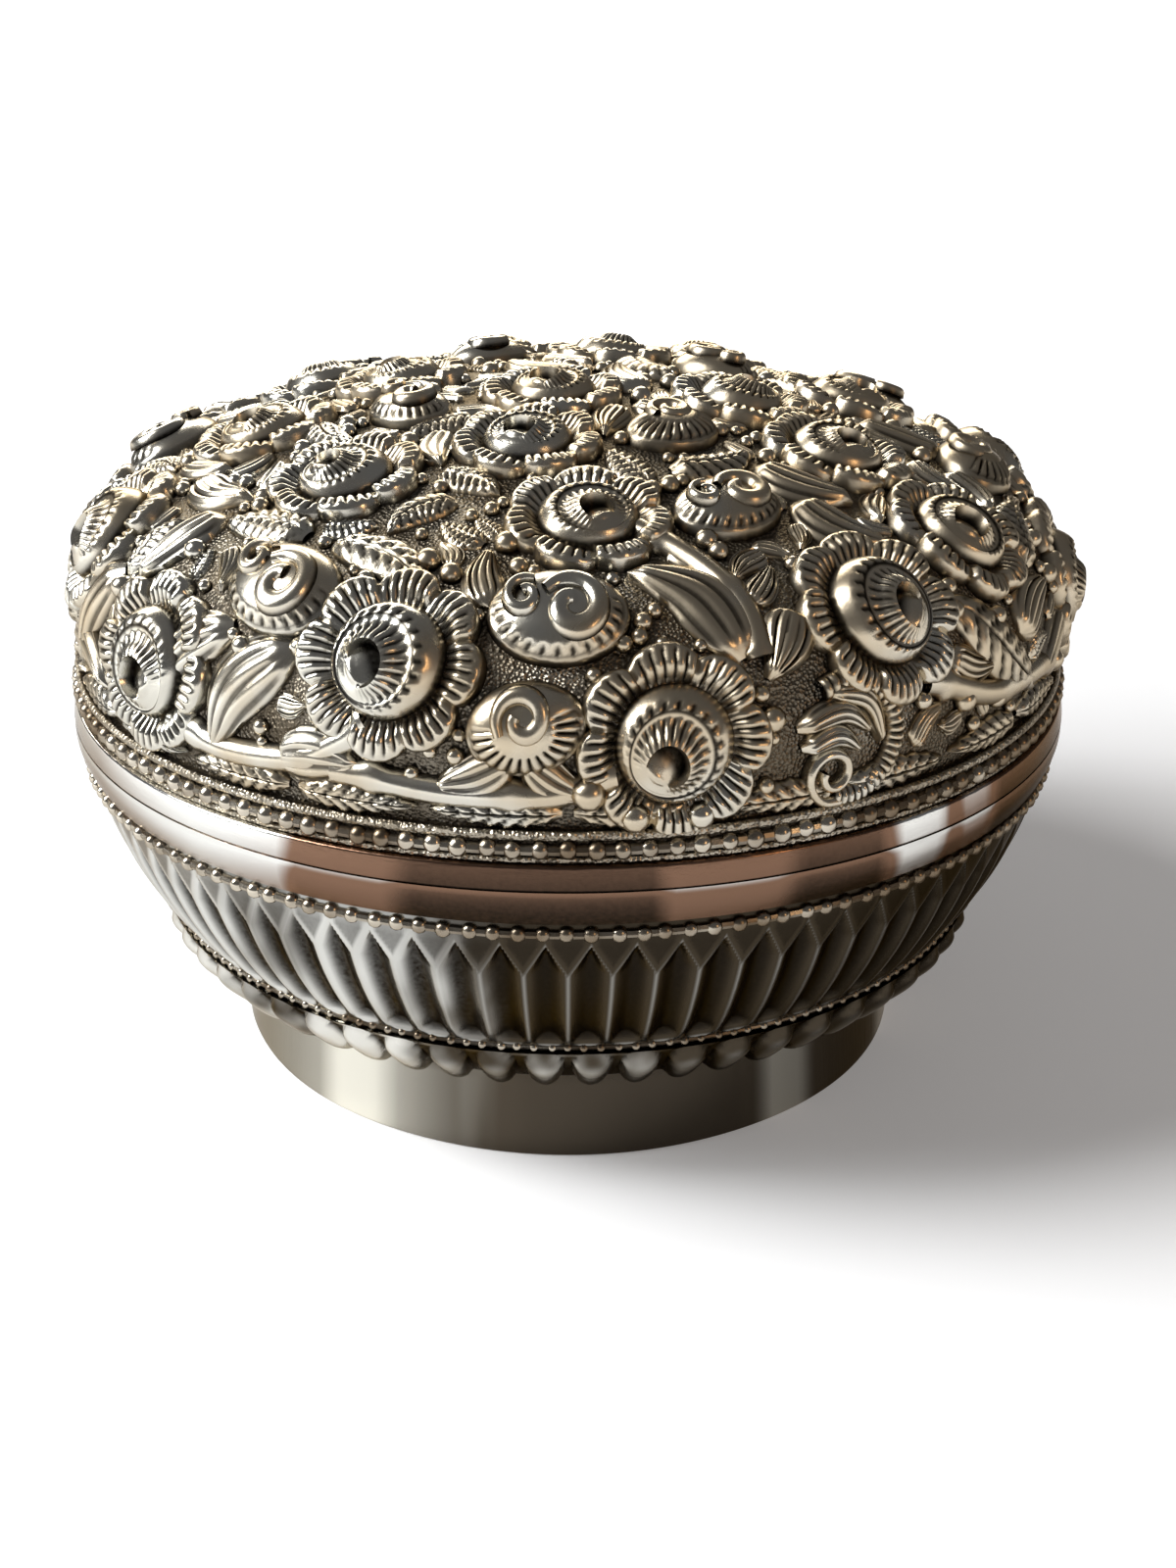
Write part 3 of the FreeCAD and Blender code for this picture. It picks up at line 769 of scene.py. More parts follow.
upper_ridge_proud = 0.55 * MM
lower_ridge_proud = 0.4 * MM
frame_dirt = 0.85
ridge_wear = -0.3
ground_dirt = 0.45
dome_steps = 70
dome_inside_steps = 30
dome_outline = [tuple(dome_profile(field_end * step / dome_steps)[0]) for step in range(dome_steps + 1)]
dome_outline[0] = (0, crown_top)
dome_outline += ridge(border_top, upper_ridge_proud)
dome_outline += ridge(lid_band_high.z + lower_ridge_proud, lower_ridge_proud)
dome_outline += [
    (lid_wall, join_height),
    (lid_wall - lid_sheet, join_height),
    (lid_wall - lid_sheet, border_top),
]
for step in range(dome_inside_steps + 1):
    place, facing = dome_profile(field_end * (dome_inside_steps - step) / dome_inside_steps)
    inner = place - facing * lid_sheet
    dome_outline.append((max(0, inner.x), inner.y))
dome_bm = spun(dome_outline, ROUND_STEPS)
dome_layer = dome_bm.verts.layers.float.new("patina_and_painted_light")
for vert in dome_bm.verts:
    radius = math.hypot(vert.co.x, vert.co.y)
    framed = abs(radius - lid_wall) < 0.05 * MM and vert.co.z < field_foot
    rubbed = radius > lid_wall + 0.2 * MM
    vert[dome_layer] = frame_dirt if framed else ridge_wear if rubbed else ground_dirt
dome_silver, dome_tree, dome_shader = tarnished_and_shaded(
    "matted_silver",
    bright=(0.42, 0.38, 0.31),
    browned_and_shaded=(0.24, 0.2, 0.145),
    black=(0.025, 0.02, 0.014),
    patch_stretch=(90, 90, 90),
    browning=0,
    lean=1.5,
    polish=0.28,
)
matting = add_node(
    dome_tree,
    "ShaderNodeTexVoronoi",
    {"Vector": add_node(dome_tree, "ShaderNodeTexCoord").outputs["Object"], "Scale": 2400},
)
matting_bump = add_node(
    dome_tree, "ShaderNodeBump", {"Height": matting.outputs["Distance"], "Distance": 0.22 * MM}
)
dome_tree.links.new(matting_bump.outputs["Normal"], dome_shader.inputs["Normal"])
dome_piece = smooth_piece("lid_dome_ground", dome_bm, dome_silver)
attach(dome_piece, "lid")
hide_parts("lid_dome")

# Roses: raised from behind with round punches, then chased from the front. Each has a ring of scalloped
# petals, cut with fine lines up to a smooth rolled edge, round a heart of folded petals about a bud.

field_seat = 0.25 * MM


def flat_spot(degrees, run):
    """A point of the flower field laid flat round the crown, which is the origin; the front is at -Y."""
    around = math.radians(degrees)
    return Vector((math.sin(around) * run, -math.cos(around) * run))


def raised(spot, height):
    """The point that stands a height proud of the dome at a spot of the flat field."""
    run = spot.length
    place, facing = dome_profile(min(run, field_end))
    outward = Vector((spot.x / run, spot.y / run)) if run > 0 else Vector((0, -1))
    level = place.x + facing.x * height
    return Vector((outward.x * level, outward.y * level, place.y + facing.y * height))


class Flat:
    """A patch of the flat field about a spot: x runs to the right, y towards the crown."""

    def __init__(self, degrees, run, turn=0.0):
        self.middle = flat_spot(degrees, run)
        around = math.radians(degrees)
        spin = math.radians(turn)
        right = Vector((math.cos(around), math.sin(around))) * (run / dome_profile(run)[0].x)
        upward = Vector((-math.sin(around), math.cos(around)))
        self.across = right * math.cos(spin) + upward * math.sin(spin)
        self.along = upward * math.cos(spin) - right * math.sin(spin)

    def spot(self, x, y):
        return self.middle + self.across * x + self.along * y


def smooth_step(edge_low, edge_high, value):
    share = min(1, max(0, (value - edge_low) / (edge_high - edge_low)))
    return share * share * (3 - 2 * share)


def grid_shares(bm, columns, rows):
    """Adds a grid and gives each of its vertices with its shares across and along, from 0 to 1."""
    made = bmesh.ops.create_grid(bm, x_segments=columns, y_segments=rows, size=0.5)
    return [(vert, vert.co.x + 0.5, vert.co.y + 0.5) for vert in made["verts"]]


def marked_mesh():
    """An empty bmesh and its layer of depth marks."""
    bm = bmesh.new()
    return bm, bm.verts.layers.float.new("patina_and_painted_light")


petal_columns = 30
petal_rows = 14
petal_lines = 6
petal_notch_share = 0.13
petal_inner_share = 0.55
petal_line_depth = 0.34 * MM
petal_lap = 0.4 * MM


def add_petals(bm, layer, patch, size, height, count, spin):
    """A ring of petals: lined from the heart out, rolled smooth at the edge, each lapping the next."""
    for vert, turn, reach in grid_shares(bm, petal_columns * count, petal_rows):
        number = round(turn * petal_columns * count) % (petal_columns * count)
        across = 2 * (number % petal_columns) / petal_columns - 1
        lobe = 1 - abs(across) ** 2.4
        edge = size * (1 - petal_notch_share * (1 - lobe))
        inner = size * petal_inner_share
        radius = inner + (edge - inner) * reach
        roll = math.sqrt(max(0, 1 - (max(0, reach - 0.74) / 0.26) ** 2))
        rise = (0.3 + 0.7 * smooth_step(0, 0.5, reach)) * roll * (0.72 + 0.28 * lobe)
        lined = smooth_step(0.05, 0.16, reach) * (1 - smooth_step(0.74, 0.84, reach)) * min(1, 3 * lobe)
        line = wave(math.pi * petal_lines * (across + 1)) ** 2.2 * lined
        lap = petal_lap * across * roll * smooth_step(0, 0.4, reach)
        proud = height * rise + lap - petal_line_depth * line
        angle = spin - 2 * math.pi * turn
        spot = patch.spot(radius * math.cos(angle), radius * math.sin(angle))
        vert.co = raised(spot, proud - field_seat * (reach > 0.95))
        vert[layer] = max(0.85 * line, 1 - smooth_step(0, 0.14, reach), smooth_step(0.9, 1, reach) * 0.8)


heart_lines = 30
heart_columns = 4 * heart_lines
heart_rows = 24
heart_offset_share = 0.44
heart_bud_share = 0.3
heart_hood_share = 0.66
heart_line_depth = 0.32 * MM


def add_heart(bm, layer, patch, size, height, open_way):
    """A globe of folded petals: a bud tucked under a lined hood that opens one way, in an outer fold."""
    bud_way = Vector((math.cos(open_way), math.sin(open_way)))
    bud = bud_way * (heart_offset_share * size)
    for vert, turn, reach in grid_shares(bm, heart_columns, heart_rows):
        number = round(turn * heart_columns) % heart_columns
        angle = -2 * math.pi * number / heart_columns
        ray = Vector((math.cos(angle), math.sin(angle)))
        ahead = bud.dot(ray)
        length = -ahead + math.sqrt(size**2 - bud.length_squared + ahead**2)
        point = bud + ray * (length * reach)
        globe = max(0, 1 - (point.length / size) ** 2.6) ** 0.55
        # Painted shadow: the marks below grow darker towards the hood side, as shade under the hood's
        # lip; grooves and cuts also carry patina
        under = -ray.dot(bud_way)
        behind = smooth_step(-0.75, 0.5, under)
        stroke = wave(math.pi * number / 2) ** 1.3
        if reach < heart_bud_share:
            fold = reach / heart_bud_share
            tuck = smooth_step(-0.5, 0.9, under * fold)
            swell = 0.1 * math.sqrt(max(0, 1 - fold**2)) - 0.06 - 0.28 * tuck
            groove = 0.1 + 0.9 * smooth_step(0.1, 0.8, under * fold)
            cut = 0
        elif reach < heart_hood_share:
            fold = (reach - heart_bud_share) / (heart_hood_share - heart_bud_share)
            hood = 0.14 * math.sin(math.pi * min(1, fold * 1.4 + 0.25)) - 0.1 * fold
            swell = hood * behind - 0.06 * (1 - behind)
            outer_groove_and_shade = smooth_step(0.88, 1, fold) * (0.4 + 0.6 * behind)
            groove = outer_groove_and_shade + (1 - smooth_step(0, 0.1, fold)) * behind
            cut = stroke * behind * smooth_step(0.12, 0.25, fold) * (1 - smooth_step(0.75, 0.9, fold))
        else:
            fold = (reach - heart_hood_share) / (1 - heart_hood_share)
            swell = 0.1 * math.sin(math.pi * min(1, fold + 0.3)) - 0.1 * smooth_step(0.1, 0, fold)
            groove = 1 - smooth_step(0, 0.12, fold)
            cut = stroke * behind * smooth_step(0.03, 0.1, fold) * (1 - smooth_step(0.3, 0.42, fold))
        body = height * (0.1 + 0.82 * globe + swell * (0.25 + 0.75 * globe))
        proud = body - heart_line_depth * cut
        vert.co = raised(patch.spot(point.x, point.y), proud - field_seat * (reach > 0.98))
        vert[layer] = max(0.9 * min(1, groove), 0.85 * cut, smooth_step(0.86, 1, point.length / size))


rose_size = 10.6 * MM
rose_height = 2.2 * MM
rose_heart_size = 6.4 * MM
rose_heart_height = 3.9 * MM
# Degrees round from the front, share of the field's run down from the crown, share of the full size,
# and the way that the heart opens, in degrees
rose_shares = [
    (10, 0.9, 1.0, 225),
    (-18, 0.80, 1.0, 215),
    (35, 0.765, 1.0, 325),
    (56, 0.70, 0.9, 200),
    (80, 0.885, 1.0, 240),
    (103, 0.77, 1.0, 300),
    (126, 0.885, 1.0, 215),
    (149, 0.77, 1.0, 250),
    (172, 0.885, 1.0, 320),
    (195, 0.77, 1.0, 220),
    (218, 0.885, 1.0, 260),
    (241, 0.77, 1.0, 310),
    (264, 0.885, 1.0, 230),
    (288, 0.77, 1.0, 290),
    (312, 0.88, 1.0, 320),
    (3, 0.53, 0.9, 300),
    (60, 0.47, 0.9, 240),
    (105, 0.49, 0.9, 200),
    (150, 0.49, 0.9, 320),
    (195, 0.49, 0.9, 250),
    (240, 0.49, 0.9, 210),
    (280, 0.49, 0.9, 300),
    (318, 0.485, 0.9, 235),
    (-11, 0.31, 0.85, 250),
    (75, 0.28, 0.85, 310),
    (165, 0.28, 0.85, 220),
    (255, 0.28, 0.85, 290),
    (-13, 0.10, 0.85, 240),
]
rose_rng = random.Random(11)
petal_bm, petal_layer = marked_mesh()
heart_bm, heart_layer = marked_mesh()
for degrees, share, size_share, opening in rose_shares:
    rose_patch = Flat(degrees, share * field_slope)
    spin = rose_rng.uniform(0, 2 * math.pi)
    count = 8 if size_share > 0.95 else 7
    add_petals(petal_bm, petal_layer, rose_patch, rose_size * size_share, rose_height, count, spin)
    add_heart(
        heart_bm,
        heart_layer,
        rose_patch,
        rose_heart_size * size_share,
        rose_heart_height * (0.5 + 0.5 * size_share),
        math.radians(opening),
    )


def closed_relief(name, bm, material):
    """A piece of raised work: doubles are merged and each open foot is closed under the ground."""
    bmesh.ops.remove_doubles(bm, verts=bm.verts, dist=0.0005 * MM)
    bmesh.ops.holes_fill(bm, edges=[edge for edge in bm.edges if edge.is_boundary], sides=0)
    piece = smooth_piece(name, bm, material, 70)
    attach(piece, "lid")


chased_silver, chased_tree, chased_shader = tarnished_and_shaded(
    "chased_silver",
    bright=(0.63, 0.61, 0.54),
    browned_and_shaded=(0.52, 0.44, 0.32),
    black=(0.014, 0.011, 0.008),
    patch_stretch=(80, 80, 80),
    browning=0,
    lean=1.5,
    polish=0.19,
)
rub(chased_tree, chased_shader, (800, 800, 800), 0.03 * MM)
closed_relief("lid_rose_petals", petal_bm, chased_silver)
closed_relief("lid_rose_hearts", heart_bm, chased_silver)

# Buds: oval cushions, each with a row of short gouges along its lower edge and one or two raised volutes
# that curl in to a ball. They are raised and chased in the sheet like the roses.

bud_columns = 96
bud_rows = 22
bud_gouges = 24
bud_size = 7.6 * MM
bud_height = 3.3 * MM
bud_gouge_depth = 0.42 * MM
bud_flat_share = 0.76
bud_ring_share = 0.86
volute_turns = 1.15
volute_height = 1.25 * MM
volute_inner_share = 0.3
# Degrees round from the front, share of the field's run, share of the full size, tilt in degrees, and
# the share of the cushion at which the gouges start: a low one makes a long skirt of a half-open bud
bud_shares = [
    (-1, 0.725, 1.0, 0, 0.7),
    (-33, 0.725, 1.0, -12, 0.7),
    (-4, 0.875, 0.85, 12, 0.46),
    (25, 0.53, 0.9, 10, 0.7),
    (82, 0.66, 0.9, 0, 0.46),
    (126, 0.67, 1.0, 20, 0.7),
    (172, 0.67, 1.0, -15, 0.46),
    (218, 0.67, 1.0, 10, 0.7),
    (264, 0.67, 1.0, -20, 0.7),
    (31, 0.30, 0.8, 0, 0.46),
    (120, 0.28, 0.8, 25, 0.7),
    (210, 0.28, 0.8, -10, 0.46),
    (300, 0.28, 0.8, 15, 0.7),
]


def cushion_rise(reach):
    """The rise of a bud's cushion at a share of its reach, as a share of its height."""
    return math.sqrt(max(0, 1 - reach**2.4))


def add_cushion(bm, layer, patch, size, gouge_share):
    """The bud's cushion, with gouges round its lower half and a plain sloping border."""
    for vert, turn, reach in grid_shares(bm, bud_columns, bud_rows):
        number = round(turn * bud_columns) % bud_columns
        angle = -2 * math.pi * number / bud_columns
        stroke = wave(2 * math.pi * number * bud_gouges / bud_columns) ** 1.5
        lower = smooth_step(0.5, 0.1, math.sin(angle))
        gouged = smooth_step(gouge_share, gouge_share + 0.05, reach)
        gouged *= smooth_step(bud_ring_share + 0.03, bud_ring_share - 0.02, reach) * lower
        crease = smooth_step(0.05, 0, abs(reach - bud_ring_share - 0.02)) * lower
        proud = bud_height * cushion_rise(reach) - bud_gouge_depth * (stroke * gouged + 0.7 * crease)
        x, y = size * reach * math.cos(angle), size * bud_flat_share * reach * math.sin(angle)
        vert.co = raised(patch.spot(x, y), proud - field_seat * (reach > 0.97))
        vert[layer] = max(0.9 * stroke * gouged, 0.7 * crease, smooth_step(0.9, 1, reach) * 0.8)


def curve_at(points, share):
    """The point and the direction at a share of the way along a smooth curve through flat points."""
    spans = len(points) - 1
    number = min(spans - 1, int(share * spans))
    local = share * spans - number
    here, there = points[number], points[number + 1]
    before = points[number - 1] if number > 0 else here * 2 - there
    after = points[number + 2] if number + 2 <= spans else there * 2 - here
    leave, arrive = (there - before) / 2, (after - here) / 2
    point = (
        here * (2 * local**3 - 3 * local**2 + 1)
        + leave * (local**3 - 2 * local**2 + local)
        + there * (3 * local**2 - 2 * local**3)
        + arrive * (local**3 - local**2)
    )
    way = (
        (here - there) * (6 * local**2 - 6 * local)
        + leave * (3 * local**2 - 4 * local + 1)
        + arrive * (3 * local**2 - 2 * local)
    )
    return point, way.normalized()


def add_strip(bm, layer, points, columns, rows, half_width, relief):
    """A raised strip along a curve; relief gives its height and depth mark along and across it."""
    for vert, across, along in grid_shares(bm, columns, rows):
        point, way = curve_at(points, along)
        side = 2 * across - 1
        spot = point + Vector((way.y, -way.x)) * (side * half_width(along))
        height, vert[layer] = relief(along, side)
        vert.co = raised(spot, height)


def round_relief(height, base=0.0):
    """The relief of a half-round wire that stands on a base height."""

    def relief(along, side):
        bow = math.sqrt(max(0, 1 - side**2))
        return base - field_seat + height * bow, 0.9 * smooth_step(0.7, 1, abs(side))

    return relief


def spiral(patch, middle, reach, start, turns, inner_share):
    """Flat points that curl in about a middle of the patch; turns below zero curl to the right."""
    points = []
    steps = 14
    for step in range(steps + 1):
        share = step / steps
        angle = math.radians(start) + 2 * math.pi * turns * share
        radius = reach * (1 - (1 - inner_share) * share)
        x, y = middle[0] + radius * math.cos(angle), middle[1] + radius * math.sin(angle)
        points.append(patch.spot(x, y))
    return points


def add_volute(bm, layer, patch, middle, reach, start, turns, base):
    """A raised comma: a tail that curls in about its middle and swells as it goes."""

    def swelling(along):
        return reach * (0.18 + 0.24 * math.sin(math.pi * (0.1 + 0.75 * along)))

    points = spiral(patch, middle, reach, start, turns, volute_inner_share)
    add_strip(bm, layer, points, 8, 44, swelling, round_relief(volute_height, base))


# The volutes of a closed bud and of a half-open one: the middle and the reach as shares of the bud's
# size, the degrees at which the tail starts, and the turns that it curls
closed_volute_shares = [
    (0.2, -0.06, 0.43, 150, -volute_turns),
    (-0.45, 0.08, 0.26, 60, volute_turns),
]
open_volute_shares = [(0.02, 0.16, 0.42, 200, -volute_turns)]
bud_bm, bud_layer = marked_mesh()
for degrees, share, size_share, tilt, gouge_share in bud_shares:
    bud_patch = Flat(degrees, share * field_slope, tilt)
    size = bud_size * size_share
    add_cushion(bud_bm, bud_layer, bud_patch, size, gouge_share)
    if gouge_share > 0.5:
        volutes = closed_volute_shares
        base = bud_height * cushion_rise(0.45) - 0.1 * MM
    else:
        volutes = open_volute_shares
        base = bud_height * cushion_rise(0.3) - 0.45 * MM
    for x_share, y_share, reach_share, start, turns in volutes:
        middle = (x_share * size, y_share * size)
        add_volute(bud_bm, bud_layer, bud_patch, middle, reach_share * size, start, turns, base)
closed_relief("lid_volute_buds", bud_bm, chased_silver)

# Leaves: long leaves with flutes chased down them, leaves with slanting veins, and small fans, raised
# from the same sheet. They grow from under the flowers and fill the ground between them.

leaf_columns = 20
leaf_rows = 26
leaf_length = 14 * MM
leaf_width = 8 * MM
leaf_height = 1.7 * MM
leaf_groove = 0.42 * MM


def leaf_edge(half_width, kind):
    """The half width along a leaf of a kind, from its stalk to its tip."""

    def half(along):
        if kind == "fan":
            end = math.sqrt(max(0.0004, 1 - (max(0, along - 0.7) / 0.3) ** 2))
            return half_width * (0.12 + 0.88 * math.sin(math.pi / 2 * min(1, along / 0.7))) * end
        body = math.sin(math.pi * (0.04 + 0.955 * along) ** 0.8) ** 0.8
        saw = 0.74 + 0.26 * ((along * 7) % 1) if kind == "sprig" else 1
        return half_width * body * saw

    return half


def leaf_relief(kind, height):
    """The relief of a leaf of a kind: its swell, and grooves cut along it or slanting from its rib."""

    def relief(along, side):
        edge = abs(side)
        body = (1 - edge**2.2) ** 0.6 if edge < 1 else 0
        ends = min(1, along / 0.12) * min(1, (1 - along) / 0.1)
        if kind in ("fluted", "fan"):
            flutes = 2 if kind == "fluted" else 3
            groove = (1 - wave(2 * math.pi * flutes * side)) ** 4
            groove *= smooth_step(0.04, 0.2, along) * smooth_step(1, 0.75, along)
        else:
            groove = wave(2 * math.pi * (8 * along - 1.1 * edge)) ** 2.5
            groove *= smooth_step(0.02, 0.16, edge) * smooth_step(1, 0.8, edge)
            groove = max(groove, smooth_step(0.12, 0.02, edge))
        groove = min(1, groove) * ends
        swell = height * (0.15 + 0.85 * body) * (0.35 + 0.65 * ends)
        proud = swell - leaf_groove * groove * min(1, height / MM)
        sunk = smooth_step(0.88, 1, edge)
        return proud - (height * 0.15 + field_seat) * sunk, max(0.9 * groove, 0.85 * sunk)

    return relief


leaf_bm, leaf_layer = marked_mesh()
taken = []


def take(spot, radius):
    """Notes that a round patch of the field is covered."""
    taken.append((raised(spot, 0), radius))


def is_free(spots, radius):
    """Whether round patches about all the spots are still bare."""
    places = [raised(spot, 0) for spot in spots]
    return all((place - other).length > radius + reach for place in places for other, reach in taken)


def add_leaf(bm, layer, points, half_width, kind, height):
    """Adds a leaf along a curve and notes the ground that it covers."""
    edge, relief = leaf_edge(half_width, kind), leaf_relief(kind, height)
    add_strip(bm, layer, points, leaf_columns, leaf_rows, edge, relief)
    for share in (0.2, 0.5, 0.8):
        take(curve_at(points, share)[0], 0.7 * half_width)


for degrees, share, size_share, opening in rose_shares:
    take(flat_spot(degrees, share * field_slope), 0.9 * rose_size * size_share)
for degrees, share, size_share, tilt, gouge_share in bud_shares:
    take(flat_spot(degrees, share * field_slope), 0.85 * bud_size * size_share)

# Main leaves: a place as for the roses, the way the tip points in degrees right of the crown, the
# length and width as shares of the full ones, the bow as a share of the length, and the kind
leaf_shares = [
    (13, 0.72, -41, 1.12, 1.1, 0.14, "fluted"),
    (-33.5, 0.885, 216, 1.18, 1.05, 0.1, "fluted"),
    (-42, 0.86, 223, 1.07, 0.85, 0.1, "fluted"),
    (-22.5, 0.665, 115, 1.17, 0.78, -0.1, "veined"),
    (40, 0.61, 160, 0.85, 0.95, 0.1, "fluted"),
    (53, 0.87, 134, 1.5, 0.98, 0.08, "veined"),
    (22, 0.785, 35, 0.6, 0.85, 0.05, "fan"),
    (-9, 0.935, 250, 0.62, 0.75, -0.1, "fluted"),
    (-1, 0.94, 120, 0.55, 0.7, 0.1, "fluted"),
    (-63, 0.87, 205, 1.1, 0.98, 0.1, "fluted"),
]
for degrees in (82, 127, 172, 217, 260):
    leaf_shares.append((degrees, 0.535, 0, 0.8, 0.9, 0.08, "fluted"))
for degrees in (31, 120, 210, 300):
    leaf_shares.append((degrees, 0.405, 90, 0.8, 0.7, 0.1, "veined"))
for degrees in (103, 149, 195, 241, 288):
    leaf_shares.append((degrees - 8.5, 0.935, -105, 0.95, 0.7, 0.08, "veined"))
    leaf_shares.append((degrees + 8.5, 0.935, 105, 0.95, 0.7, -0.08, "fluted"))
for degrees, share, heading, length_share, width_share, bow_share, kind in leaf_shares:
    leaf_patch = Flat(degrees, share * field_slope, -heading)
    length = length_share * leaf_length
    bends = ((0, -length / 2), (bow_share * length, 0), (0, length / 2))
    points = [leaf_patch.spot(x, y) for x, y in bends]
    add_leaf(leaf_bm, leaf_layer, points, width_share * leaf_width / 2, kind, leaf_height)

# The great scroll at the front right: a hatched rim that runs down into a coil, with three lobes inside
scroll_patch = Flat(28, 0.928 * field_slope)
scroll_size = 7.6 * MM
scroll_height = 1.9 * MM
scroll_hatches = 26
scroll_hatch_depth = 0.36 * MM
scroll_lobe_half = 0.22 * scroll_size
scroll_lobe_height = 1.8 * MM


def hatched_relief(along, side):
    """The relief of the scroll's rim: rounded, with short strokes cut across it."""
    bow = math.sqrt(max(0, 1 - side**2))
    stroke = wave(2 * math.pi * scroll_hatches * along) ** 2 * smooth_step(0.95, 0.7, abs(side))
    proud = scroll_height * bow - field_seat - scroll_hatch_depth * stroke
    return proud, max(0.85 * stroke, smooth_step(0.8, 1, abs(side)))


def rim_half(along):
    return 0.19 * scroll_size


def coil_half(along):
    return scroll_size * (0.12 - 0.01 * along)


scroll_rim = spiral(scroll_patch, (0, 0), 0.86 * scroll_size, 115, -0.62, 0.94)
add_strip(leaf_bm, leaf_layer, scroll_rim, 12, 110, rim_half, hatched_relief)
coil_middle = (-0.28 * scroll_size, -0.42 * scroll_size)
scroll_coil = spiral(scroll_patch, coil_middle, 0.44 * scroll_size, -75, -1.35, 0.3)
add_strip(leaf_bm, leaf_layer, scroll_coil, 8, 70, coil_half, round_relief(scroll_height))
scroll_lobe_shares = [
    ((-0.8, 0.35), (-0.1, 0.45), (0.35, 0.1)),
    ((-0.3, 0.75), (0.3, 0.55), (0.55, -0.1)),
    ((-0.75, 0.05), (-0.2, 0.15), (0.2, -0.15)),
]
for lobe in scroll_lobe_shares:
    points = [scroll_patch.spot(x * scroll_size, y * scroll_size) for x, y in lobe]
    add_leaf(leaf_bm, leaf_layer, points, scroll_lobe_half, "fluted", scroll_lobe_height)
take(scroll_patch.middle, scroll_size)

# Saw-edged sprigs lie end to end along the border
sprig_count = 26
sprig_run = 78.8 * MM
sprig_half = 2.2 * MM
sprig_height = 1.4 * MM
for number in range(sprig_count):
    start, end = (360 * (number + share) / sprig_count for share in (0.04, 0.96))
    points = [flat_spot(start + (end - start) * share, sprig_run) for share in (0, 0.5, 1)]
    if number % 2:
        points.reverse()
    add_leaf(leaf_bm, leaf_layer, points, sprig_half, "sprig", sprig_height)
closed_relief("lid_leaves", leaf_bm, chased_silver)

# Leaves of falling size fill the bare ground that is left: length and half width in millimetres, and how
# many places are tried
filler_sizes = [(12, 3.4, 900), (9, 2.6, 1500), (6.5, 2.0, 2600), (4.6, 1.5, 3200)]
filler_kinds = ["fluted", "veined", "fluted", "fan"]
filler_rng = random.Random(23)
filler_bm, filler_layer = marked_mesh()
for length, half_width, tries in filler_sizes:
    for _ in range(tries):
        run = field_slope * math.sqrt(filler_rng.uniform(0.01, 0.93))
        start = flat_spot(filler_rng.uniform(0, 360), run)
        heading = filler_rng.uniform(0, 2 * math.pi)
        end = start + Vector((math.cos(heading), math.sin(heading))) * (length * MM)
        bow = (end - start).orthogonal() * filler_rng.uniform(-0.16, 0.16)
        kind = filler_rng.choice(filler_kinds)
        points = [start, (start + end) / 2 + bow, end]
        spots = [curve_at(points, share)[0] for share in (0.15, 0.4, 0.65, 0.9)]
        if end.length < 0.97 * field_slope and is_free(spots, 0.5 * half_width * MM):
            height = min(leaf_height, 0.5 * half_width * MM)
            add_leaf(filler_bm, filler_layer, points, half_width * MM, kind, height)
closed_relief("lid_filling_leaves", filler_bm, chased_silver)

# Stems and berries: round stems with swollen knots that carry the flowers, and smooth berries beside
# them. Both are raised in the lid's sheet from behind and left plain among the chased work.

stem_half = 1.7 * MM
stem_height = 1.9 * MM
# Stems from end to end, as degrees round from the front and millimetres down from the crown
stem_routes = [
    [(-44, 75.5), (-36, 76.6), (-27.4, 75.6), (-22, 72.6), (-19.5, 70.0)],
    [(-23, 76.0), (-12, 76.9), (-2, 76.7), (4.5, 74.6)],
    [(10, 44.0), (16, 50.5), (19, 57.5), (19.5, 63.5)],
    [(38, 69.5), (50, 74.0), (66, 76.0)],
]
stem_bm, stem_layer = marked_mesh()


def knotty(along):
    """The half width along a stem, which swells at three knots."""
    knots = sum(math.exp(-(((along - place) / 0.03) ** 2)) for place in (0.12, 0.55, 0.97))
    return stem_half * (1 + 0.35 * knots)


for route in stem_routes:
    points = [flat_spot(degrees, run * MM) for degrees, run in route]
    add_strip(stem_bm, stem_layer, points, 10, 60, knotty, round_relief(stem_height))

# Berries under the front rose, then small ones on bare ground: degrees round from the front, millimetres
# down from the crown, radius in millimetres, and the share of it by which the middle stands proud
berries = [(1.9, 76.2, 1.9, 0.6), (6.2, 79.0, 1.7, 0.7), (12.5, 79.2, 1.6, 0.7)]
berry_tries = 5000
berry_rng = random.Random(31)
for _ in range(berry_tries):
    radius = berry_rng.uniform(0.7, 1.5)
    run = field_slope * math.sqrt(berry_rng.uniform(0.005, 0.95))
    degrees = berry_rng.uniform(0, 360)
    if is_free([flat_spot(degrees, run)], 0.75 * radius * MM):
        take(flat_spot(degrees, run), 0.9 * radius * MM)
        berries.append((degrees, run / MM, radius, 0.35))
for degrees, run, radius, proud_share in berries:
    spot = flat_spot(degrees, run * MM)
    middle = raised(spot, proud_share * radius * MM)
    outward = (raised(spot, MM) - raised(spot, 0)).normalized()
    ball = bmesh.ops.create_icosphere(stem_bm, subdivisions=2, radius=radius * MM)
    for vert in ball["verts"]:
        vert[stem_layer] = 0.9 * smooth_step(0.25, -0.2, vert.co.dot(outward) / (radius * MM))
        vert.co += middle
closed_relief("lid_stems_and_berries", stem_bm, chased_silver)

# Studio: a pale floor, soft lamps and a camera that stands where the photographer stood. The floor shows
# white to the camera and in the metal, and keeps the box's shadow.

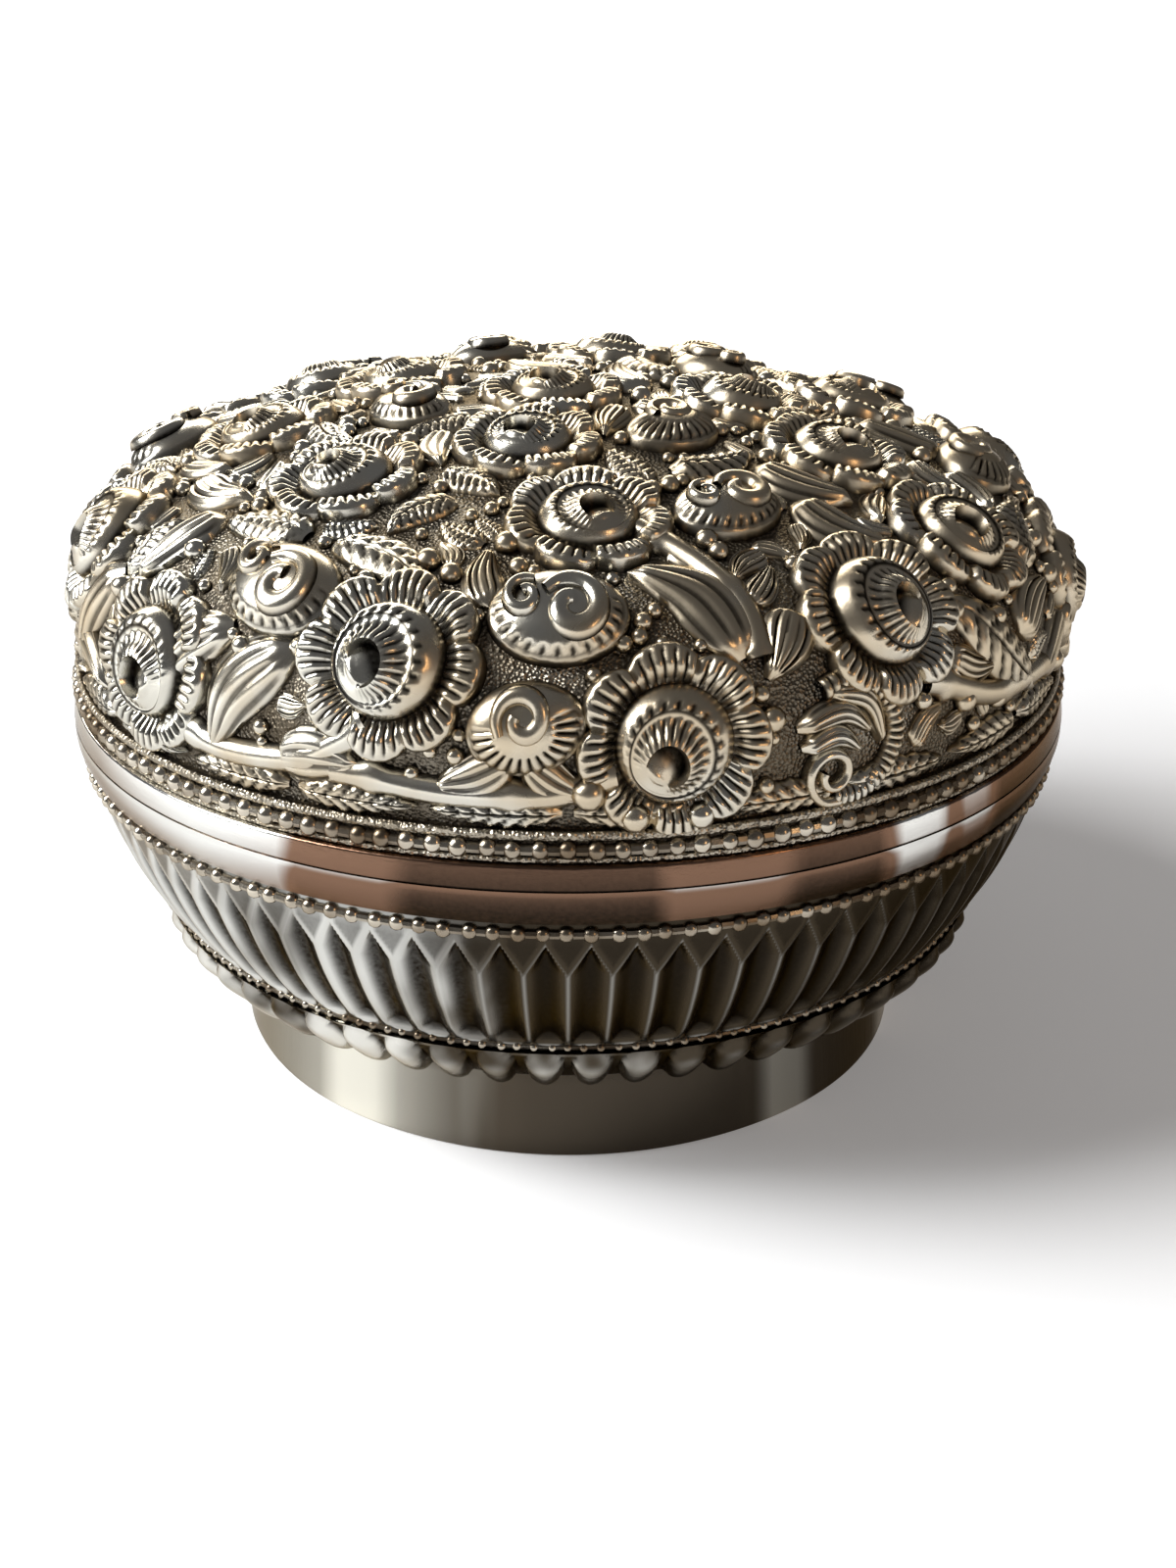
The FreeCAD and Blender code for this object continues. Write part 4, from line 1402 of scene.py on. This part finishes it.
floor_radius = 9.0
floor_glow_reach = (0.1, 0.45)
floor_glow = (0.18, 0.65)
floor_bm = bmesh.new()
bmesh.ops.create_circle(floor_bm, cap_ends=True, segments=96, radius=floor_radius)
floor_paint = bpy.data.materials.new("pale_floor")
floor_paint.use_nodes = True
floor_shader = floor_paint.node_tree.nodes["Principled BSDF"]
floor_shader.inputs["Base Color"].default_value = (0.9, 0.9, 0.9, 1)
floor_shader.inputs["Roughness"].default_value = 0.9
floor_shader.inputs["Specular IOR Level"].default_value = 0.1
floor_tree = floor_paint.node_tree
seen_by = add_node(floor_tree, "ShaderNodeLightPath").outputs
shown = combined(floor_tree, "ADD", seen_by["Is Camera Ray"], seen_by["Is Glossy Ray"])
shown = combined(floor_tree, "ADD", shown, seen_by["Is Transmission Ray"])
floor_place = add_node(floor_tree, "ShaderNodeTexCoord").outputs["Object"]
floor_reach = add_node(floor_tree, "ShaderNodeVectorMath", {0: floor_place}, operation="LENGTH")
whiteness = ramp(floor_tree, floor_reach.outputs["Value"], floor_glow_reach, floor_glow)
glow = combined(floor_tree, "MULTIPLY", shown, whiteness)
floor_shader.inputs["Emission Color"].default_value = (1, 1, 1, 1)
floor_tree.links.new(glow, floor_shader.inputs["Emission Strength"])
floor = smooth_piece("floor", floor_bm, floor_paint)

world = bpy.data.worlds.new("studio")
world.use_nodes = True
world.node_tree.nodes["Background"].inputs["Color"].default_value = (0.12, 0.12, 0.125, 1)
bpy.context.scene.world = world


def aimed(obj, place, target):
    """Puts a lamp or a camera in the scene at a place, turned towards a target."""
    obj.location = place
    obj.rotation_euler = (Vector(target) - Vector(place)).to_track_quat("-Z", "Y").to_euler()
    bpy.context.scene.collection.objects.link(obj)


def soft_lamp(name, place, width, height, watts, colour):
    """A lamp with a wide oblong face that is turned towards the box."""
    data = bpy.data.lights.new(name, "AREA")
    data.shape = "RECTANGLE"
    data.size = width
    data.size_y = height
    data.energy = watts
    data.color = colour
    lamp = bpy.data.objects.new(name, data)
    aimed(lamp, place, (0, 0, 0.05))
    return lamp


soft_lamp(
    "left_window",
    place=(-0.75, -0.12, 0.5),
    width=0.4,
    height=0.4,
    watts=7.5,
    colour=(0.96, 0.98, 1.0),
)
back_window = soft_lamp(
    "back_window",
    place=(-0.2, 0.8, 0.55),
    width=1.0,
    height=0.4,
    watts=10,
    colour=(1.0, 0.97, 0.9),
)
back_window.visible_diffuse = False
soft_lamp(
    "warm_fill",
    place=(0.55, -0.55, 0.3),
    width=0.1,
    height=0.2,
    watts=0.5,
    colour=(1.0, 0.62, 0.32),
)
sun = bpy.data.lights.new("even_light", "SUN")
sun.energy = 1.8
sun.angle = math.radians(24)
aimed(bpy.data.objects.new("even_light", sun), (-0.8, -0.1, 0.9), (0, 0, 0))

camera_place = (0, -0.2476, 0.1413)
camera_target = (0, 0, 0.03575)
photo_frame = (1200, 1600)
target_pixel = (579.7, 759.9)
camera = bpy.data.cameras.new("photo_camera")
camera.sensor_width = 36
camera.lens = 45
camera.shift_x = (photo_frame[0] / 2 - target_pixel[0]) / max(photo_frame)
camera.shift_y = (target_pixel[1] - photo_frame[1] / 2) / max(photo_frame)
camera.clip_start = 0.01
camera_object = bpy.data.objects.new("photo_camera", camera)
aimed(camera_object, camera_place, camera_target)
bpy.context.scene.camera = camera_object
bpy.context.scene.view_settings.view_transform = "Standard"
